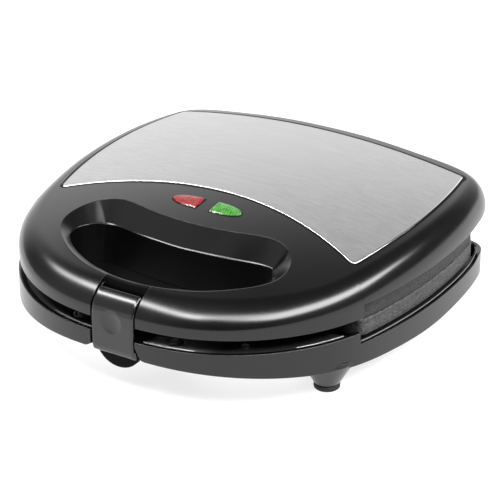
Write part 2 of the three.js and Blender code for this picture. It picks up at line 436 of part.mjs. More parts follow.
// ---------------------------------------------------------------- lid casing
{
  const outer = lidBody(LID_INSET, 0, LID_EDGE_FRONT, 5, [0.7, 0.35]);
  const hollow = lidBody(LID_INSET + LID_WALL, LID_WALL, 10, 2, [0.5]);
  const walls = join(slotTube(LID_EDGE_FRONT - 4, 80), funnel(SLOT_WALL)).intersect(lidBody(LID_INSET, 0, 10, 5, [0.7, 0.35]));
  let body = join(cut(outer, hollow), walls.intersect(box(-200, 200, -200, 200, 21.9, 100)));
  // Cheeks that carry the latch pin.
  both((s) => {
    const [a, b] = s > 0 ? [NOTCH_X, 17.4] : [-17.4, -NOTCH_X];
    body = join(body, box(a, b, -140, -109.5, 31.6, 80).intersect(outer));
  });
  body = cut(body, slotHole, funnel(0), box(-NOTCH_X, NOTCH_X, -140, -112, 0, 80));
  body = cut(body, cylinderX(LATCH_PIVOT[0], LATCH_PIVOT[1], -17.6, 17.6, 1.3, 14));
  // The edge is higher beside and behind the plates.
  body = cut(body, box(-200, 200, LID_WINDOW_Y, 200, 0, LID_EDGE_REAR));
  // Hinge ears on both sides of each tower.
  both((s) => {
    for (const [a, b] of [[HINGE_X[0] - 4.6, HINGE_X[0] - 0.4], [HINGE_X[1] + 0.4, HINGE_X[1] + 4.6]]) {
      const [x0, x1] = s > 0 ? [a, b] : [-b, -a];
      const ear = join(box(x0, x1, HINGE_Y - 6, HINGE_Y + 6, HINGE_Z, 70), cylinderX(HINGE_Y, HINGE_Z, x0, x1, HINGE_R, 24)).intersect(lidBody(LID_INSET + 1, 1, 10, 2, [0.5]));
      body = join(body, cut(ear, cylinderX(HINGE_Y, HINGE_Z, x0 - 1, x1 + 1, 2.3, 16)));
    }
    for (const [x, y] of [[99, -36], [96, 74]])
      body = join(body, cut(cylinderZ(s * x, y, 41.7, 62, 3.6, 3.6, 12).intersect(lidBody(LID_INSET + 1, 1, 10, 2, [0.5])), cylinderZ(s * x, y, 41, 47, 1.45, 1.45, 8)));
    body = join(body, cut(cylinderZ(s * 40, -109.2, 31.6, 46, 2.9, 2.9, 12).intersect(lidBody(LID_INSET + 1, 1, 10, 2, [0.5])), cylinderZ(s * 40, -109.2, 31, 37, 1.45, 1.45, 8)));
  });
  // Notch in the back edge that clears the cord gland when the lid stands open.
  body = cut(body, box(-8.5, 8.5, 112, 140, 30, 55));
  // Seat for the trim plate and windows for the two lamps.
  const domeUp = lidBody(0, 0, 0, 5, [0.7, 0.35]);
  const lowered = domeUp.translate([0, 0, -1.1]);
  body = cut(body, cut(prism(trimPlan(0.45), 40, 90), lowered));
  both((s) => { body = cut(body, lampSolid(s, 0.25, 20, 90)); });
  place(lidGroup, "upper_housing", body, "black");

  // Brushed steel trim plate, following the crown of the lid.
  place(lidGroup, "trim_plate", cut(prism(trimPlan(0), 40, 90).intersect(domeUp.translate([0, 0, 0.3])), domeUp.translate([0, 0, -0.8])), "steel");

  // Underside cover of the upper handle.
  let cover = cut(prism(offset(PLAN, -LID_INSET - LID_WALL - 0.4), 29.2, 31.2), slotTubeGap());
  cover = cover.intersect(box(-200, 200, -200, -57, 0, 60));
  cover = cut(cover, box(-17.8, 17.8, -140, -120.4, 0, 60));
  both((s) => { cover = cut(cover, cylinderZ(s * 40, -109.2, 28, 32, 1.9, 1.9, 10)); });
  place(lidGroup, "upper_handle_cover", cover, "darkBlack");
  both((s, side) => {
    place(lidGroup, "upper_handle_screw_" + side, screw(s * 40, -109.2, 0, 3.2, 7).transform(new THREE.Matrix4().makeTranslation(0, 0, 27.4).multiply(new THREE.Matrix4().makeScale(1, 1, -1)).elements), "zinc");
    place(lidGroup, "upper_frame_screw_front_" + side, flip(screw(s * 99, -36, 13.0, 3.2, 8, false)), "zinc");
    place(lidGroup, "upper_frame_screw_rear_" + side, flip(screw(s * 96, 74, 13.0, 3.2, 8, false)), "zinc");
  });
}
function trimPlan(grow) {
  const { x1, y1, kf, x2, y2, kb, ks } = TRIM, out = [];
  const N = 12;
  for (let i = 0; i <= N; i++) { const t = -1 + (2 * i) / N; out.push([x1 * t, y1 + kf * (1 - t * t)]); }
  for (let i = 1; i < 8; i++) { const t = i / 8; out.push([x1 + (x2 - x1) * t + ks * 4 * t * (1 - t), y1 + (y2 - y1) * t]); }
  for (let i = 0; i <= N; i++) { const t = 1 - (2 * i) / N; out.push([x2 * t, y2 + kb * (1 - t * t)]); }
  for (let i = 7; i > 0; i--) { const t = i / 8; out.push([-(x1 + (x2 - x1) * t + ks * 4 * t * (1 - t)), y1 + (y2 - y1) * t]); }
  return grow ? offset(out, grow) : out;
}
function lampSolid(s, grow, below, above) {
  const pts = [], { flat, tip, y0, y1, mid } = LAMP;
  pts.push([flat - grow, y0 - grow]);
  const a = tip - flat;
  for (let i = 0; i <= 8; i++) {
    const t = -Math.PI / 2 + (Math.PI * i) / 8;
    const c = Math.cos(t), q = Math.sin(t);
    pts.push([flat + 2.5 + (a - 2.5 + grow) * c, (y0 + y1) / 2 + ((y1 - y0) / 2 + grow) * q]);
  }
  pts.push([flat - grow, y1 + grow]);
  const g = prism(s > 0 ? pts : pts.map(([x, y]) => [-x, y]).reverse(), -below, above);
  const tilt = new THREE.Matrix4().makeTranslation(0, mid, dome(14, mid)).multiply(new THREE.Matrix4().makeRotationX(0.117)).multiply(at(0, -mid, 0));
  return g.transform(tilt.elements);
}
both((s, side) => {
  const colour = s > 0 ? "green" : "red";
  const tray = lampSolid(s, 0, 4.2, 0.9);
  const inner = cut(lampSolid(s, -1.1, 6, -0.6));
  place(lidGroup, "lamp_lens_" + colour, cut(tray, inner), colour);
  place(lidGroup, "neon_lamp_" + colour, join(cylinderX(-28.4, 52.2, s > 0 ? 7 : -17, s > 0 ? 17 : -7, 2.6, 14), cylinderX(-28.4, 52.2, s > 0 ? 16 : -20, s > 0 ? 20 : -16, 0.6, 6)), "glass");
});
place(lidGroup, "lamp_board", cut(box(-27, 27, -35.5, -21, 47.2, 48.8), cylinderZ(0, -28, 40, 60, 1.8, 1.8, 12)), "board");

place(lidGroup, "upper_cooking_plate", flip(cookingPlate({ nx: 4, ny: 4 })), "plate");
place(lidGroup, "upper_heating_element", flip(heaterTube()), "heater");
place(lidGroup, "upper_heat_reflector", flip(reflector()), "aluminium");
place(lidGroup, "upper_plate_frame", flip(innerFrame(5.4)), "darkBlack");
place(lidGroup, "upper_plate_clip", flip(plateClip()), "black");
place(lidGroup, "upper_clip_spring", flip(clipSpring()), "zinc");
place(lidGroup, "thermostat", join(cylinderZ(0, 22, 47.6, 54, 8.5, 8.5, 24), box(-11, 11, 19.5, 24.5, 47.6, 48.6), box(-6, -4.6, 20, 24, 53, 58), box(4.6, 6, 20, 24, 53, 58)), "ceramic");

// ---------------------------------------------------------------- latch
{
  const [py, pz] = LATCH_PIVOT;
  const outerSkin = [[-115.6, 44.5], [-119.4, 42.6], [-122, 40.2], [-123.7, 37.4], [-124.9, 34], [-125.3, 28], [-125.45, 21], [-125.45, 12.6], [-125, 10.2], [-124, 8.5], [-122.6, 7.76]];
  const innerSkin = [[-122.45, 7.9], [-122.45, 10.2], [-123, 12.4], [-123.1, 21], [-122.9, 28], [-122.5, 33.4], [-121.4, 36.6], [-120, 38.8], [-117.8, 40.8], [-114.9, 42.2]];
  let latch = prismX([...outerSkin, ...innerSkin].reverse(), -LATCH_X, LATCH_X);
  for (const [a, b] of [[-11.5, -5], [5, 11.5]])
    latch = join(latch, cylinderX(py, pz, a, b, 3.1, 20), prismX([[-124, 36], [-122, 39.6], [-119, 38.8], [-117.8, 35], [-121, 33.6], [-123.6, 32.6]].reverse(), a, b));
  latch = cut(latch, cylinderX(py, pz, -20, 20, 1.35, 16));
  place(latchGroup, "latch", latch, "black");
  place(lidGroup, "latch_pin", cylinderX(py, pz, -17.3, 17.3, 1, 14), "zinc");
  const coil = [];
  for (let i = 0; i <= 32; i++) {
    const t = (i / 32) * 2 * Math.PI * 4;
    coil.push([-3.6 + (i / 32) * 7.2, py + 2 * Math.cos(t), pz + 2 * Math.sin(t)]);
  }
  place(lidGroup, "latch_spring", tube(coil, 0.35, 4, 40), "zinc");
}

export default group;
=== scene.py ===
import bpy, json, math
import numpy as np
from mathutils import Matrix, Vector
from mathutils.geometry import tessellate_polygon


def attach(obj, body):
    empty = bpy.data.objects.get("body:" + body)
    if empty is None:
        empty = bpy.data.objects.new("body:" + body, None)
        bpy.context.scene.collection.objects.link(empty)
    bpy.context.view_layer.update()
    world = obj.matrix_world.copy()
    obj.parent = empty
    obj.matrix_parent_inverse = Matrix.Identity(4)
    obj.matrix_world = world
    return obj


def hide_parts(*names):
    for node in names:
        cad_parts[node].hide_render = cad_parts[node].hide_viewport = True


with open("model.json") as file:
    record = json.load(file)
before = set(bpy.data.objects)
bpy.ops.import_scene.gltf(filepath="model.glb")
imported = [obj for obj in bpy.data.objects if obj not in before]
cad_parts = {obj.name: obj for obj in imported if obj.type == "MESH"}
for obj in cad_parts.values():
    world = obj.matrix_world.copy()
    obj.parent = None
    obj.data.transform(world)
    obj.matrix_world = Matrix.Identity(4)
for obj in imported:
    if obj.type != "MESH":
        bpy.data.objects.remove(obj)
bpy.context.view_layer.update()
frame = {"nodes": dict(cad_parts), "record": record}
nodes = frame["nodes"]

# ------------------------------------------------------------------ frame of the drawing
# Lengths below are in millimetres from the underside of the front wall; the row frame
# has its origin on the table, so heights are lifted and depths shifted.
LIFT, SHIFT_Y = 16.0, 2.09


def row(points):
    p = np.array(points, float).reshape(-1, 3)
    return np.stack([p[:, 0], p[:, 1] + SHIFT_Y, p[:, 2] + LIFT], 1) * 1e-3


def pt(x, y, z):
    return Vector((x * 1e-3, (y + SHIFT_Y) * 1e-3, (z + LIFT) * 1e-3))


# ------------------------------------------------------------------ camera
AZ, EL, DIST = math.radians(31.85), math.radians(25.6), 1150.21
TARGET = np.array([43.92, -52.26, 54.47])
back = np.array([math.sin(AZ) * math.cos(EL) * 1.0, -math.cos(AZ) * math.cos(EL), math.sin(EL)])
cam_data = bpy.data.cameras.new("camera")
cam = bpy.data.objects.new("camera", cam_data)
bpy.context.scene.collection.objects.link(cam)
cam.location = pt(*(TARGET + back * DIST))
cam.rotation_euler = (Vector(-back).to_track_quat("-Z", "Y")).to_euler()
cam_data.sensor_width = 36
cam_data.lens = 36 * 2056.53 / 500
cam_data.clip_end = 50
bpy.context.scene.camera = cam

# ------------------------------------------------------------------ outlines
OUTLINE_RADII = [
    125.05, 125.36, 126.09, 126.94, 127.63, 128.07, 128.28, 128.25, 128.02, 127.63,
    127.1, 126.45, 125.63, 124.6, 123.51, 122.63, 122.24, 122.49, 123.35, 124.78,
    126.78, 129.41, 132.77, 136.89, 141.63, 146.92, 152.84, 157.17, 155.03, 147.22,
    138.98, 133.1, 129.01, 125.93, 123.59, 122.1, 121.58,
]
RIM_HALF = [
    (0, -48.6), (10, -48.2), (20, -46.9), (30, -44.9), (40, -42.2), (46.5, -40.7), (51, -40.1), (57, -40.8),
    (64, -44.4), (70.3, -51.6), (73.4, -60), (73.2, -69), (69, -77.6), (60, -87), (48, -96), (36, -102.2),
    (25, -105.8), (14, -108.1), (7, -109), (0, -109.4),
]
SLOT_HALF = [
    (0, -57.8), (16, -56.7), (32, -54.9), (44, -52.8), (52, -52.3), (58, -54), (62.3, -58.6), (65.2, -64.5),
    (65.2, -70.5), (62.8, -76.6), (56.4, -84), (49.4, -89.7), (42, -94.6), (34, -98.9), (24, -102.9), (12, -106),
    (0, -107),
]


def dome(x, y):
    return 66.6 - 8.69e-4 * x * x - 7.94e-4 * (y - 45.8) ** 2


def ease(t):
    t = np.clip(t, 0, 1)
    return t * t * (3 - 2 * t)


def rim_width(y):
    return 14.8 - 2.8 * ease((y + 120) / 60)


def wall_top(y):
    return 33 + 3.4 * ease((y + 120) / 60)


def base_edge(x, y):
    s = np.maximum(0, (-y - 40) / 85)
    ax = np.abs(x) + (118 - np.abs(x)) * ease((y - 5) / 70)
    return 12.69 - 2.79 * s * s - 14.48 * (ax / 125) ** 2


def cubic_closed(points, per=24):
    """Dense closed curve through points (Catmull-Rom, centripetal)."""
    p = np.array(points, float)
    n = len(p)
    out = []
    for i in range(n):
        p0, p1, p2, p3 = p[i - 1], p[i], p[(i + 1) % n], p[(i + 2) % n]
        t0 = 0.0
        t1 = t0 + max(1e-6, np.linalg.norm(p1 - p0) ** 0.5)
        t2 = t1 + max(1e-6, np.linalg.norm(p2 - p1) ** 0.5)
        t3 = t2 + max(1e-6, np.linalg.norm(p3 - p2) ** 0.5)
        for k in range(per):
            t = t1 + (t2 - t1) * k / per
            a1 = (t1 - t) / (t1 - t0) * p0 + (t - t0) / (t1 - t0) * p1
            a2 = (t2 - t) / (t2 - t1) * p1 + (t - t1) / (t2 - t1) * p2
            a3 = (t3 - t) / (t3 - t2) * p2 + (t - t2) / (t3 - t2) * p3
            b1 = (t2 - t) / (t2 - t0) * a1 + (t - t0) / (t2 - t0) * a2
            b2 = (t3 - t) / (t3 - t1) * a2 + (t - t1) / (t3 - t1) * a3
            out.append((t2 - t) / (t2 - t1) * b1 + (t - t1) / (t2 - t1) * b2)
    return np.array(out)


def both_sides(half):
    """A half outline from the back centre round +X to the front centre, closed by its mirror image and
    returned anticlockwise from the front centre, seen from above."""
    ring = list(half) + [(-x, y) for x, y in half[1:-1][::-1]]
    return np.array(ring)[::-1]


def outline_radius(deg):
    r = np.array(OUTLINE_RADII)
    full = np.concatenate([r, r[-2:0:-1]])
    t = ((np.asarray(deg, float) + 90) % 360) / 5
    i = np.floor(t).astype(int)
    f = t - i
    g = lambda k: full[k % 72]
    p0, p1, p2, p3 = g(i - 1), g(i), g(i + 1), g(i + 2)
    return p1 + 0.5 * f * (p2 - p0 + f * (2 * p0 - 5 * p1 + 4 * p2 - p3 + f * (3 * (p1 - p2) + p3 - p0)))


def plan_curve(kind="lid", n=1440):
    deg = -90 + 360 * np.arange(n) / n
    a = np.radians(deg)
    r = outline_radius(deg)
    if kind == "base":
        r = r + 0.52
        s = np.sin(a)
        b = 102.3 / np.maximum(s, 1e-3)
        r = np.where(s > 0.2, (r ** -26.0 + b ** -26.0) ** (-1 / 26), r)
    else:
        r = r - 0.31
    # A light smoothing keeps the reflections even where the radii were read.
    for _ in range(60):
        r = 0.25 * np.roll(r, 1) + 0.5 * r + 0.25 * np.roll(r, -1)
    return np.stack([r * np.cos(a), r * np.sin(a)], 1)


class Curve:
    """A closed plan curve that starts at the front centre and runs anticlockwise, read by arc share 0..1."""

    def __init__(self, pts):
        start = int(np.argmin(pts[:, 1] + np.abs(pts[:, 0]) * 3))
        pts = np.roll(pts, -start, axis=0)
        self.p = np.vstack([pts, pts[:1]])
        d = np.linalg.norm(np.diff(self.p, axis=0), axis=1)
        self.s = np.concatenate([[0], np.cumsum(d)])
        self.length = self.s[-1]
        self.s = self.s / self.length

    def at(self, t):
        t = np.mod(t, 1)
        return np.stack([np.interp(t, self.s, self.p[:, 0]), np.interp(t, self.s, self.p[:, 1])], 1)

    def normal(self, t, h=0.0015):
        d = self.at(t + h) - self.at(t - h)
        n = np.stack([d[:, 1], -d[:, 0]], 1)
        return n / np.linalg.norm(n, axis=1, keepdims=True)

    def nearest(self, x, y):
        return self.s[int(np.argmin((self.p[:, 0] - x) ** 2 + (self.p[:, 1] - y) ** 2))]


LID_C, BASE_C = Curve(plan_curve("lid")), Curve(plan_curve("base"))
RIM_C = Curve(cubic_closed(both_sides(RIM_HALF)))
SLOT_C = Curve(cubic_closed(both_sides(SLOT_HALF)))

# Which rim and slot point each outline point is joined to: keys on the right half, mirrored.
KEYS = [
    # outline point, rim point, slot point
    ((0, -125), (0, -109.4), (0, -107)),
    ((25, -123.6), (25, -105.8), (25, -102.6)),
    ((60, -110), (48, -96), (44.5, -93)),
    ((97, -78), (69, -77.6), (60.5, -79.6)),
    ((121, -22), (73.6, -62), (65.4, -67)),
    ((124, 40), (70.3, -51.6), (62, -58.3)),
    ((107, 114), (57, -40.8), (52, -52.3)),
    ((45, 122), (24, -46.1), (24, -55.8)),
    ((0, 121.4), (0, -48.6), (0, -57.8)),
]


def mapping(curve, which):
    outer = BASE_C if which == "base" else LID_C
    t = [outer.nearest(*k[0]) for k in KEYS]
    t[0], t[-1] = 0.0, 0.5
    q = [curve.nearest(*(k[1] if curve is RIM_C else k[2])) for k in KEYS]
    q[0], q[-1] = 0.0, 0.5
    t, q = np.array(t), np.array(q)
    # Monotone cubic through the keys.
    h, d = np.diff(t), np.diff(q) / np.diff(t)
    m = np.zeros(len(t))
    m[1:-1] = np.where(d[:-1] * d[1:] > 0, 2 * d[:-1] * d[1:] / (d[:-1] + d[1:] + 1e-12), 0)
    m[0], m[-1] = d[0], d[-1]

    def f(s):
        s = np.mod(np.asarray(s, float), 1)
        flip = s > 0.5
        u = np.where(flip, 1 - s, s)
        i = np.clip(np.searchsorted(t, u, side="right") - 1, 0, len(t) - 2)
        x = (u - t[i]) / h[i]
        v = (2 * x**3 - 3 * x**2 + 1) * q[i] + (x**3 - 2 * x**2 + x) * h[i] * m[i] + (-2 * x**3 + 3 * x**2) * q[i + 1] + (x**3 - x**2) * h[i] * m[i + 1]
        return np.where(flip, 1 - v, v)

    return f


# ------------------------------------------------------------------ mesh helpers
def make(name, verts, faces, body, mat, replaces=(), smooth=True, sharp=35, weighted=True, slot=None, solid=False):
    me = bpy.data.meshes.new(name)
    me.from_pydata([tuple(v) for v in row(verts)], [], [tuple(int(i) for i in f) for f in faces])
    me.validate(clean_customdata=False)
    me.update()
    ob = bpy.data.objects.new(name, me)
    bpy.context.scene.collection.objects.link(ob)
    if smooth:
        for p in me.polygons:
            p.use_smooth = True
        me.set_sharp_from_angle(angle=math.radians(sharp))
    if weighted:
        w = ob.modifiers.new("weighted", "WEIGHTED_NORMAL")
        w.keep_sharp = True
        w.mode = "FACE_AREA"
    me.materials.append(mat)
    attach(ob, body)
    if replaces:
        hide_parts(*replaces)
    return ob


def grid_faces(m, n, close_rows=False, close_cols=True, flip=False, start=0):
    """m rings of n points. Faces join ring to ring; close_cols joins the last point of a ring to its first."""
    f = []
    rows = m if close_rows else m - 1
    cols = n if close_cols else n - 1
    for i in range(rows):
        a, b = i * n, ((i + 1) % m) * n
        for j in range(cols):
            k = (j + 1) % n
            q = (a + j, a + k, b + k, b + j)
            f.append(tuple(start + v for v in (q[::-1] if flip else q)))
    return f


def loft(name, rings, body, mat, cap_start=False, cap_end=False, close_rows=False, flip=False, **kw):
    rings = [np.array(r, float) for r in rings]
    n = len(rings[0])
    verts = np.vstack(rings)
    faces = grid_faces(len(rings), n, close_rows=close_rows, flip=flip)
    if cap_start:
        faces.append(tuple(range(n)) if flip else tuple(range(n))[::-1])
    if cap_end:
        last = (len(rings) - 1) * n
        faces.append(tuple(range(last, last + n))[::-1] if flip else tuple(range(last, last + n)))
    return make(name, verts, faces, body, mat, **kw)


def combine(parts):
    """Several (verts, faces) into one."""
    vs, fs, k = [], [], 0
    for v, f in parts:
        v = np.array(v, float)
        vs.append(v)
        fs += [tuple(i + k for i in q) for q in f]
        k += len(v)
    return np.vstack(vs), fs


def turned(profile, cx, cy, n=48, axis="z", flip=False):
    """Revolved profile [(r, h)] about an axis, closed at both ends by caps."""
    rings = []
    for r, h in profile:
        a = 2 * math.pi * np.arange(n) / n
        if axis == "z":
            rings.append(np.stack([cx + r * np.cos(a), cy + r * np.sin(a), np.full(n, h)], 1))
        elif axis == "x":
            rings.append(np.stack([np.full(n, h), cx + r * np.cos(a), cy + r * np.sin(a)], 1))
        else:
            rings.append(np.stack([cx - r * np.cos(a), np.full(n, h), cy + r * np.sin(a)], 1))
    faces = grid_faces(len(rings), n, flip=flip)
    first, last = tuple(range(n)), tuple(range((len(rings) - 1) * n, len(rings) * n))
    faces.append(first if flip else first[::-1])
    faces.append(last[::-1] if flip else last)
    return np.vstack(rings), faces


def fillet(p0, p1, p2, r, n=4):
    """Points of an arc that rounds the corner p1 between directions to p0 and p2 (2-D)."""
    p0, p1, p2 = (np.array(p, float) for p in (p0, p1, p2))
    a, b = (p0 - p1), (p2 - p1)
    la, lb = np.linalg.norm(a), np.linalg.norm(b)
    a, b = a / la, b / lb
    ang = math.acos(np.clip(np.dot(a, b), -1, 1))
    d = min(r / math.tan(ang / 2), 0.45 * la, 0.45 * lb)
    r = d * math.tan(ang / 2)
    c = p1 + (a + b) / np.linalg.norm(a + b) * (r / math.sin(ang / 2))
    s, e = p1 + a * d, p1 + b * d
    v0, v1 = s - c, e - c
    out = []
    t0, t1 = math.atan2(v0[1], v0[0]), math.atan2(v1[1], v1[0])
    dt = (t1 - t0 + math.pi) % (2 * math.pi) - math.pi
    for i in range(n + 1):
        t = t0 + dt * i / n
        out.append(c + r * np.array([math.cos(t), math.sin(t)]))
    return out


def rounded_profile(points, radii, n=4, closed=False):
    """A 2-D polyline with each corner rounded by its own radius (0 keeps it)."""
    out = []
    m = len(points)
    for i, p in enumerate(points):
        r = radii[i] if hasattr(radii, "__len__") else radii
        if (not closed and i in (0, m - 1)) or r <= 0:
            out.append(np.array(p, float))
        else:
            out += fillet(points[i - 1], p, points[(i + 1) % m], r, n)
    return np.array(out)


def rounded_rect(x0, x1, y0, y1, r, n=6):
    out = []
    for cx, cy, a0 in ((x1 - r, y1 - r, 0), (x0 + r, y1 - r, 90), (x0 + r, y0 + r, 180), (x1 - r, y0 + r, 270)):
        for i in range(n + 1):
            a = math.radians(a0 + 90 * i / n)
            out.append((cx + r * math.cos(a), cy + r * math.sin(a)))
    return np.array(out)


# ------------------------------------------------------------------ materials
def nodes_of(name):
    m = bpy.data.materials.new(name)
    m.use_nodes = True
    t = m.node_tree
    bsdf = t.nodes["Principled BSDF"]
    return m, t, bsdf


def link(t, a, b):
    t.links.new(a, b)


def noise(t, scale, detail=4, rough=0.55, vec=None, stretch=None):
    n = t.nodes.new("ShaderNodeTexNoise")
    n.inputs["Scale"].default_value = scale
    n.inputs["Detail"].default_value = detail
    n.inputs["Roughness"].default_value = rough
    co = t.nodes.new("ShaderNodeTexCoord")
    if stretch:
        mp = t.nodes.new("ShaderNodeMapping")
        mp.inputs["Scale"].default_value = stretch
        link(t, co.outputs["Object"], mp.inputs["Vector"])
        link(t, mp.outputs["Vector"], n.inputs["Vector"])
    else:
        link(t, co.outputs["Object"], n.inputs["Vector"])
    return n


def ramp(t, src, lo, hi, a, b):
    r = t.nodes.new("ShaderNodeMapRange")
    r.inputs["From Min"].default_value = lo
    r.inputs["From Max"].default_value = hi
    r.inputs["To Min"].default_value = a
    r.inputs["To Max"].default_value = b
    link(t, src, r.inputs["Value"])
    return r.outputs["Result"]


def mix_color(t, fac, a, b):
    m = t.nodes.new("ShaderNodeMix")
    m.data_type = "RGBA"
    link(t, fac, m.inputs["Factor"])
    for side_, v_ in (("A", a), ("B", b)):
        if isinstance(v_, tuple):
            m.inputs[side_].default_value = (*v_, 1)
        else:
            link(t, v_, m.inputs[side_])
    return m.outputs["Result"]


def bump(t, height, strength, distance, normal=None):
    b = t.nodes.new("ShaderNodeBump")
    b.inputs["Strength"].default_value = strength
    b.inputs["Distance"].default_value = distance
    link(t, height, b.inputs["Height"])
    if normal is not None:
        link(t, normal, b.inputs["Normal"])
    return b.outputs["Normal"]


def bevel(t, radius):
    b = t.nodes.new("ShaderNodeBevel")
    b.samples = 6
    b.inputs["Radius"].default_value = radius
    return b.outputs["Normal"]


def plastic(name, color, rough, grain=0.02, grain_scale=2600, variation=0.04, edge=0.0004, ior=1.5):
    """Moulded plastic: fine grain, faint flow marks and uneven gloss."""
    m, t, p = nodes_of(name)
    fine = noise(t, grain_scale, 3, 0.6)
    flow = noise(t, 22, 3, 0.5, stretch=(1, 1.6, 2.4))
    smudge = noise(t, 85, 5, 0.6)
    c = mix_color(t, ramp(t, flow.outputs["Fac"], 0.35, 0.65, 0, 1), tuple(v * 0.86 for v in color), tuple(v * 1.14 for v in color))
    link(t, c, p.inputs["Base Color"])
    add = t.nodes.new("ShaderNodeMath")
    add.operation = "ADD"
    link(t, ramp(t, flow.outputs["Fac"], 0.3, 0.7, rough - variation * 0.5, rough + variation * 0.5), add.inputs[0])
    link(t, ramp(t, smudge.outputs["Fac"], 0.35, 0.75, -variation * 0.5, variation * 0.5), add.inputs[1])
    link(t, add.outputs[0], p.inputs["Roughness"])
    p.inputs["IOR"].default_value = ior
    n = bevel(t, edge) if edge else None
    link(t, bump(t, fine.outputs["Fac"], grain, 0.0002, n), p.inputs["Normal"])
    return m


def metal(name, color, rough, brush=None, strength=0.05, edge=0.0003, spots=60, contrast=0.07):
    m, t, p = nodes_of(name)
    p.inputs["Metallic"].default_value = 1.0
    wear = noise(t, spots, 5, 0.6)
    if brush:
        lines = noise(t, 1.0, 4, 0.7, stretch=brush)
        fine = noise(t, 1.0, 2, 0.6, stretch=tuple(v * 3.1 for v in brush))
        mixn = t.nodes.new("ShaderNodeMath")
        mixn.operation = "MULTIPLY_ADD"
        link(t, fine.outputs["Fac"], mixn.inputs[0])
        mixn.inputs[1].default_value = 0.5
        link(t, lines.outputs["Fac"], mixn.inputs[2])
        src = mixn.outputs[0]
        lo, hi = 0.45, 1.05
    else:
        src = wear.outputs["Fac"]
        lo, hi = 0.3, 0.7
    c = mix_color(t, ramp(t, src, lo, hi, 0, 1), tuple(v * (1 - contrast) for v in color), tuple(min(1, v * (1 + contrast)) for v in color))
    link(t, c, p.inputs["Base Color"])
    link(t, ramp(t, src, lo, hi, rough - 0.05, rough + 0.07), p.inputs["Roughness"])
    n = bevel(t, edge) if edge else None
    link(t, bump(t, src, strength, 0.0002, n), p.inputs["Normal"])
    return m


def coating(name, color, rough):
    """Cast aluminium under a non-stick coating: pebbled, with a fine sparkle and a drawn-out grain."""
    m, t, p = nodes_of(name)
    cast = noise(t, 1.0, 4, 0.7, stretch=(620, 520, 1500))
    grit = noise(t, 2600, 3, 0.75)
    mixed = t.nodes.new("ShaderNodeMath")
    mixed.operation = "MULTIPLY_ADD"
    link(t, grit.outputs["Fac"], mixed.inputs[0])
    mixed.inputs[1].default_value = 0.8
    link(t, cast.outputs["Fac"], mixed.inputs[2])
    src = mixed.outputs[0]
    c = mix_color(t, ramp(t, src, 0.74, 1.06, 0, 1), tuple(v * 0.1 for v in color), tuple(v * 4.0 for v in color))
    link(t, c, p.inputs["Base Color"])
    link(t, ramp(t, src, 0.7, 1.1, rough + 0.12, rough - 0.1), p.inputs["Roughness"])
    p.inputs["Metallic"].default_value = 0.15
    link(t, bump(t, src, 0.7, 0.0004, bevel(t, 0.0004)), p.inputs["Normal"])
    return m


def rubber(name, color=(0.004, 0.004, 0.004)):
    m, t, p = nodes_of(name)
    f = noise(t, 1800, 3, 0.6)
    d = noise(t, 120, 4, 0.6)
    link(t, mix_color(t, ramp(t, d.outputs["Fac"], 0.4, 0.7, 0, 1), color, tuple(v * 1.7 for v in color)), p.inputs["Base Color"])
    link(t, ramp(t, d.outputs["Fac"], 0.3, 0.7, 0.62, 0.8), p.inputs["Roughness"])
    link(t, bump(t, f.outputs["Fac"], 0.15, 0.0002, bevel(t, 0.0003)), p.inputs["Normal"])
    return m


def lens(name, color, glow):
    """Tinted clear plastic over a finely ribbed reflector."""
    m, t, p = nodes_of(name)
    co = t.nodes.new("ShaderNodeTexCoord")
    mp = t.nodes.new("ShaderNodeMapping")
    mp.inputs["Rotation"].default_value = (0, 0, math.radians(-14))
    link(t, co.outputs["Object"], mp.inputs["Vector"])
    w = t.nodes.new("ShaderNodeTexWave")
    w.inputs["Scale"].default_value = 190
    w.inputs["Distortion"].default_value = 2.5
    w.inputs["Detail"].default_value = 3
    w.inputs["Detail Scale"].default_value = 2.2
    link(t, mp.outputs["Vector"], w.inputs["Vector"])
    blot = noise(t, 420, 4, 0.65)
    mixed = t.nodes.new("ShaderNodeMath")
    mixed.operation = "MULTIPLY_ADD"
    link(t, w.outputs["Fac"], mixed.inputs[0])
    mixed.inputs[1].default_value = 0.22
    link(t, blot.outputs["Fac"], mixed.inputs[2])
    f = ramp(t, mixed.outputs[0], 0.44, 0.76, 0, 1)
    # Along the front edge a row of pale specks, which also glow white, is painted in: painted glints.
    part = t.nodes.new("ShaderNodeSeparateXYZ")
    link(t, co.outputs["Object"], part.inputs[0])
    near = ramp(t, part.outputs["Y"], -0.0316, -0.0310, 1, 0)
    painted_glint = ramp(t, noise(t, 1500, 2, 0.5).outputs["Fac"], 0.5, 0.56, 0, 1)
    both = t.nodes.new("ShaderNodeMath")
    both.operation = "MULTIPLY"
    link(t, near, both.inputs[0])
    link(t, painted_glint, both.inputs[1])
    tint = mix_color(t, f, tuple(v * 0.5 for v in color), tuple(min(1, v * 1.25) for v in color))
    link(t, mix_color(t, both.outputs[0], tint, (0.8, 0.8, 0.78)), p.inputs["Base Color"])
    link(t, ramp(t, blot.outputs["Fac"], 0.3, 0.7, 0.1, 0.2), p.inputs["Roughness"])
    p.inputs["Coat Weight"].default_value = 0.1
    p.inputs["IOR"].default_value = 1.36
    p.inputs["Coat Roughness"].default_value = 0.05
    shine = mix_color(t, f, tuple(v * 0.45 for v in glow), tuple(min(1, v * 1.3) for v in glow))
    link(t, mix_color(t, both.outputs[0], shine, (1, 1, 1)), p.inputs["Emission Color"])
    p.inputs["Emission Strength"].default_value = 0.3
    link(t, bump(t, mixed.outputs[0], 0.35, 0.0004, bevel(t, 0.0004)), p.inputs["Normal"])
    return m


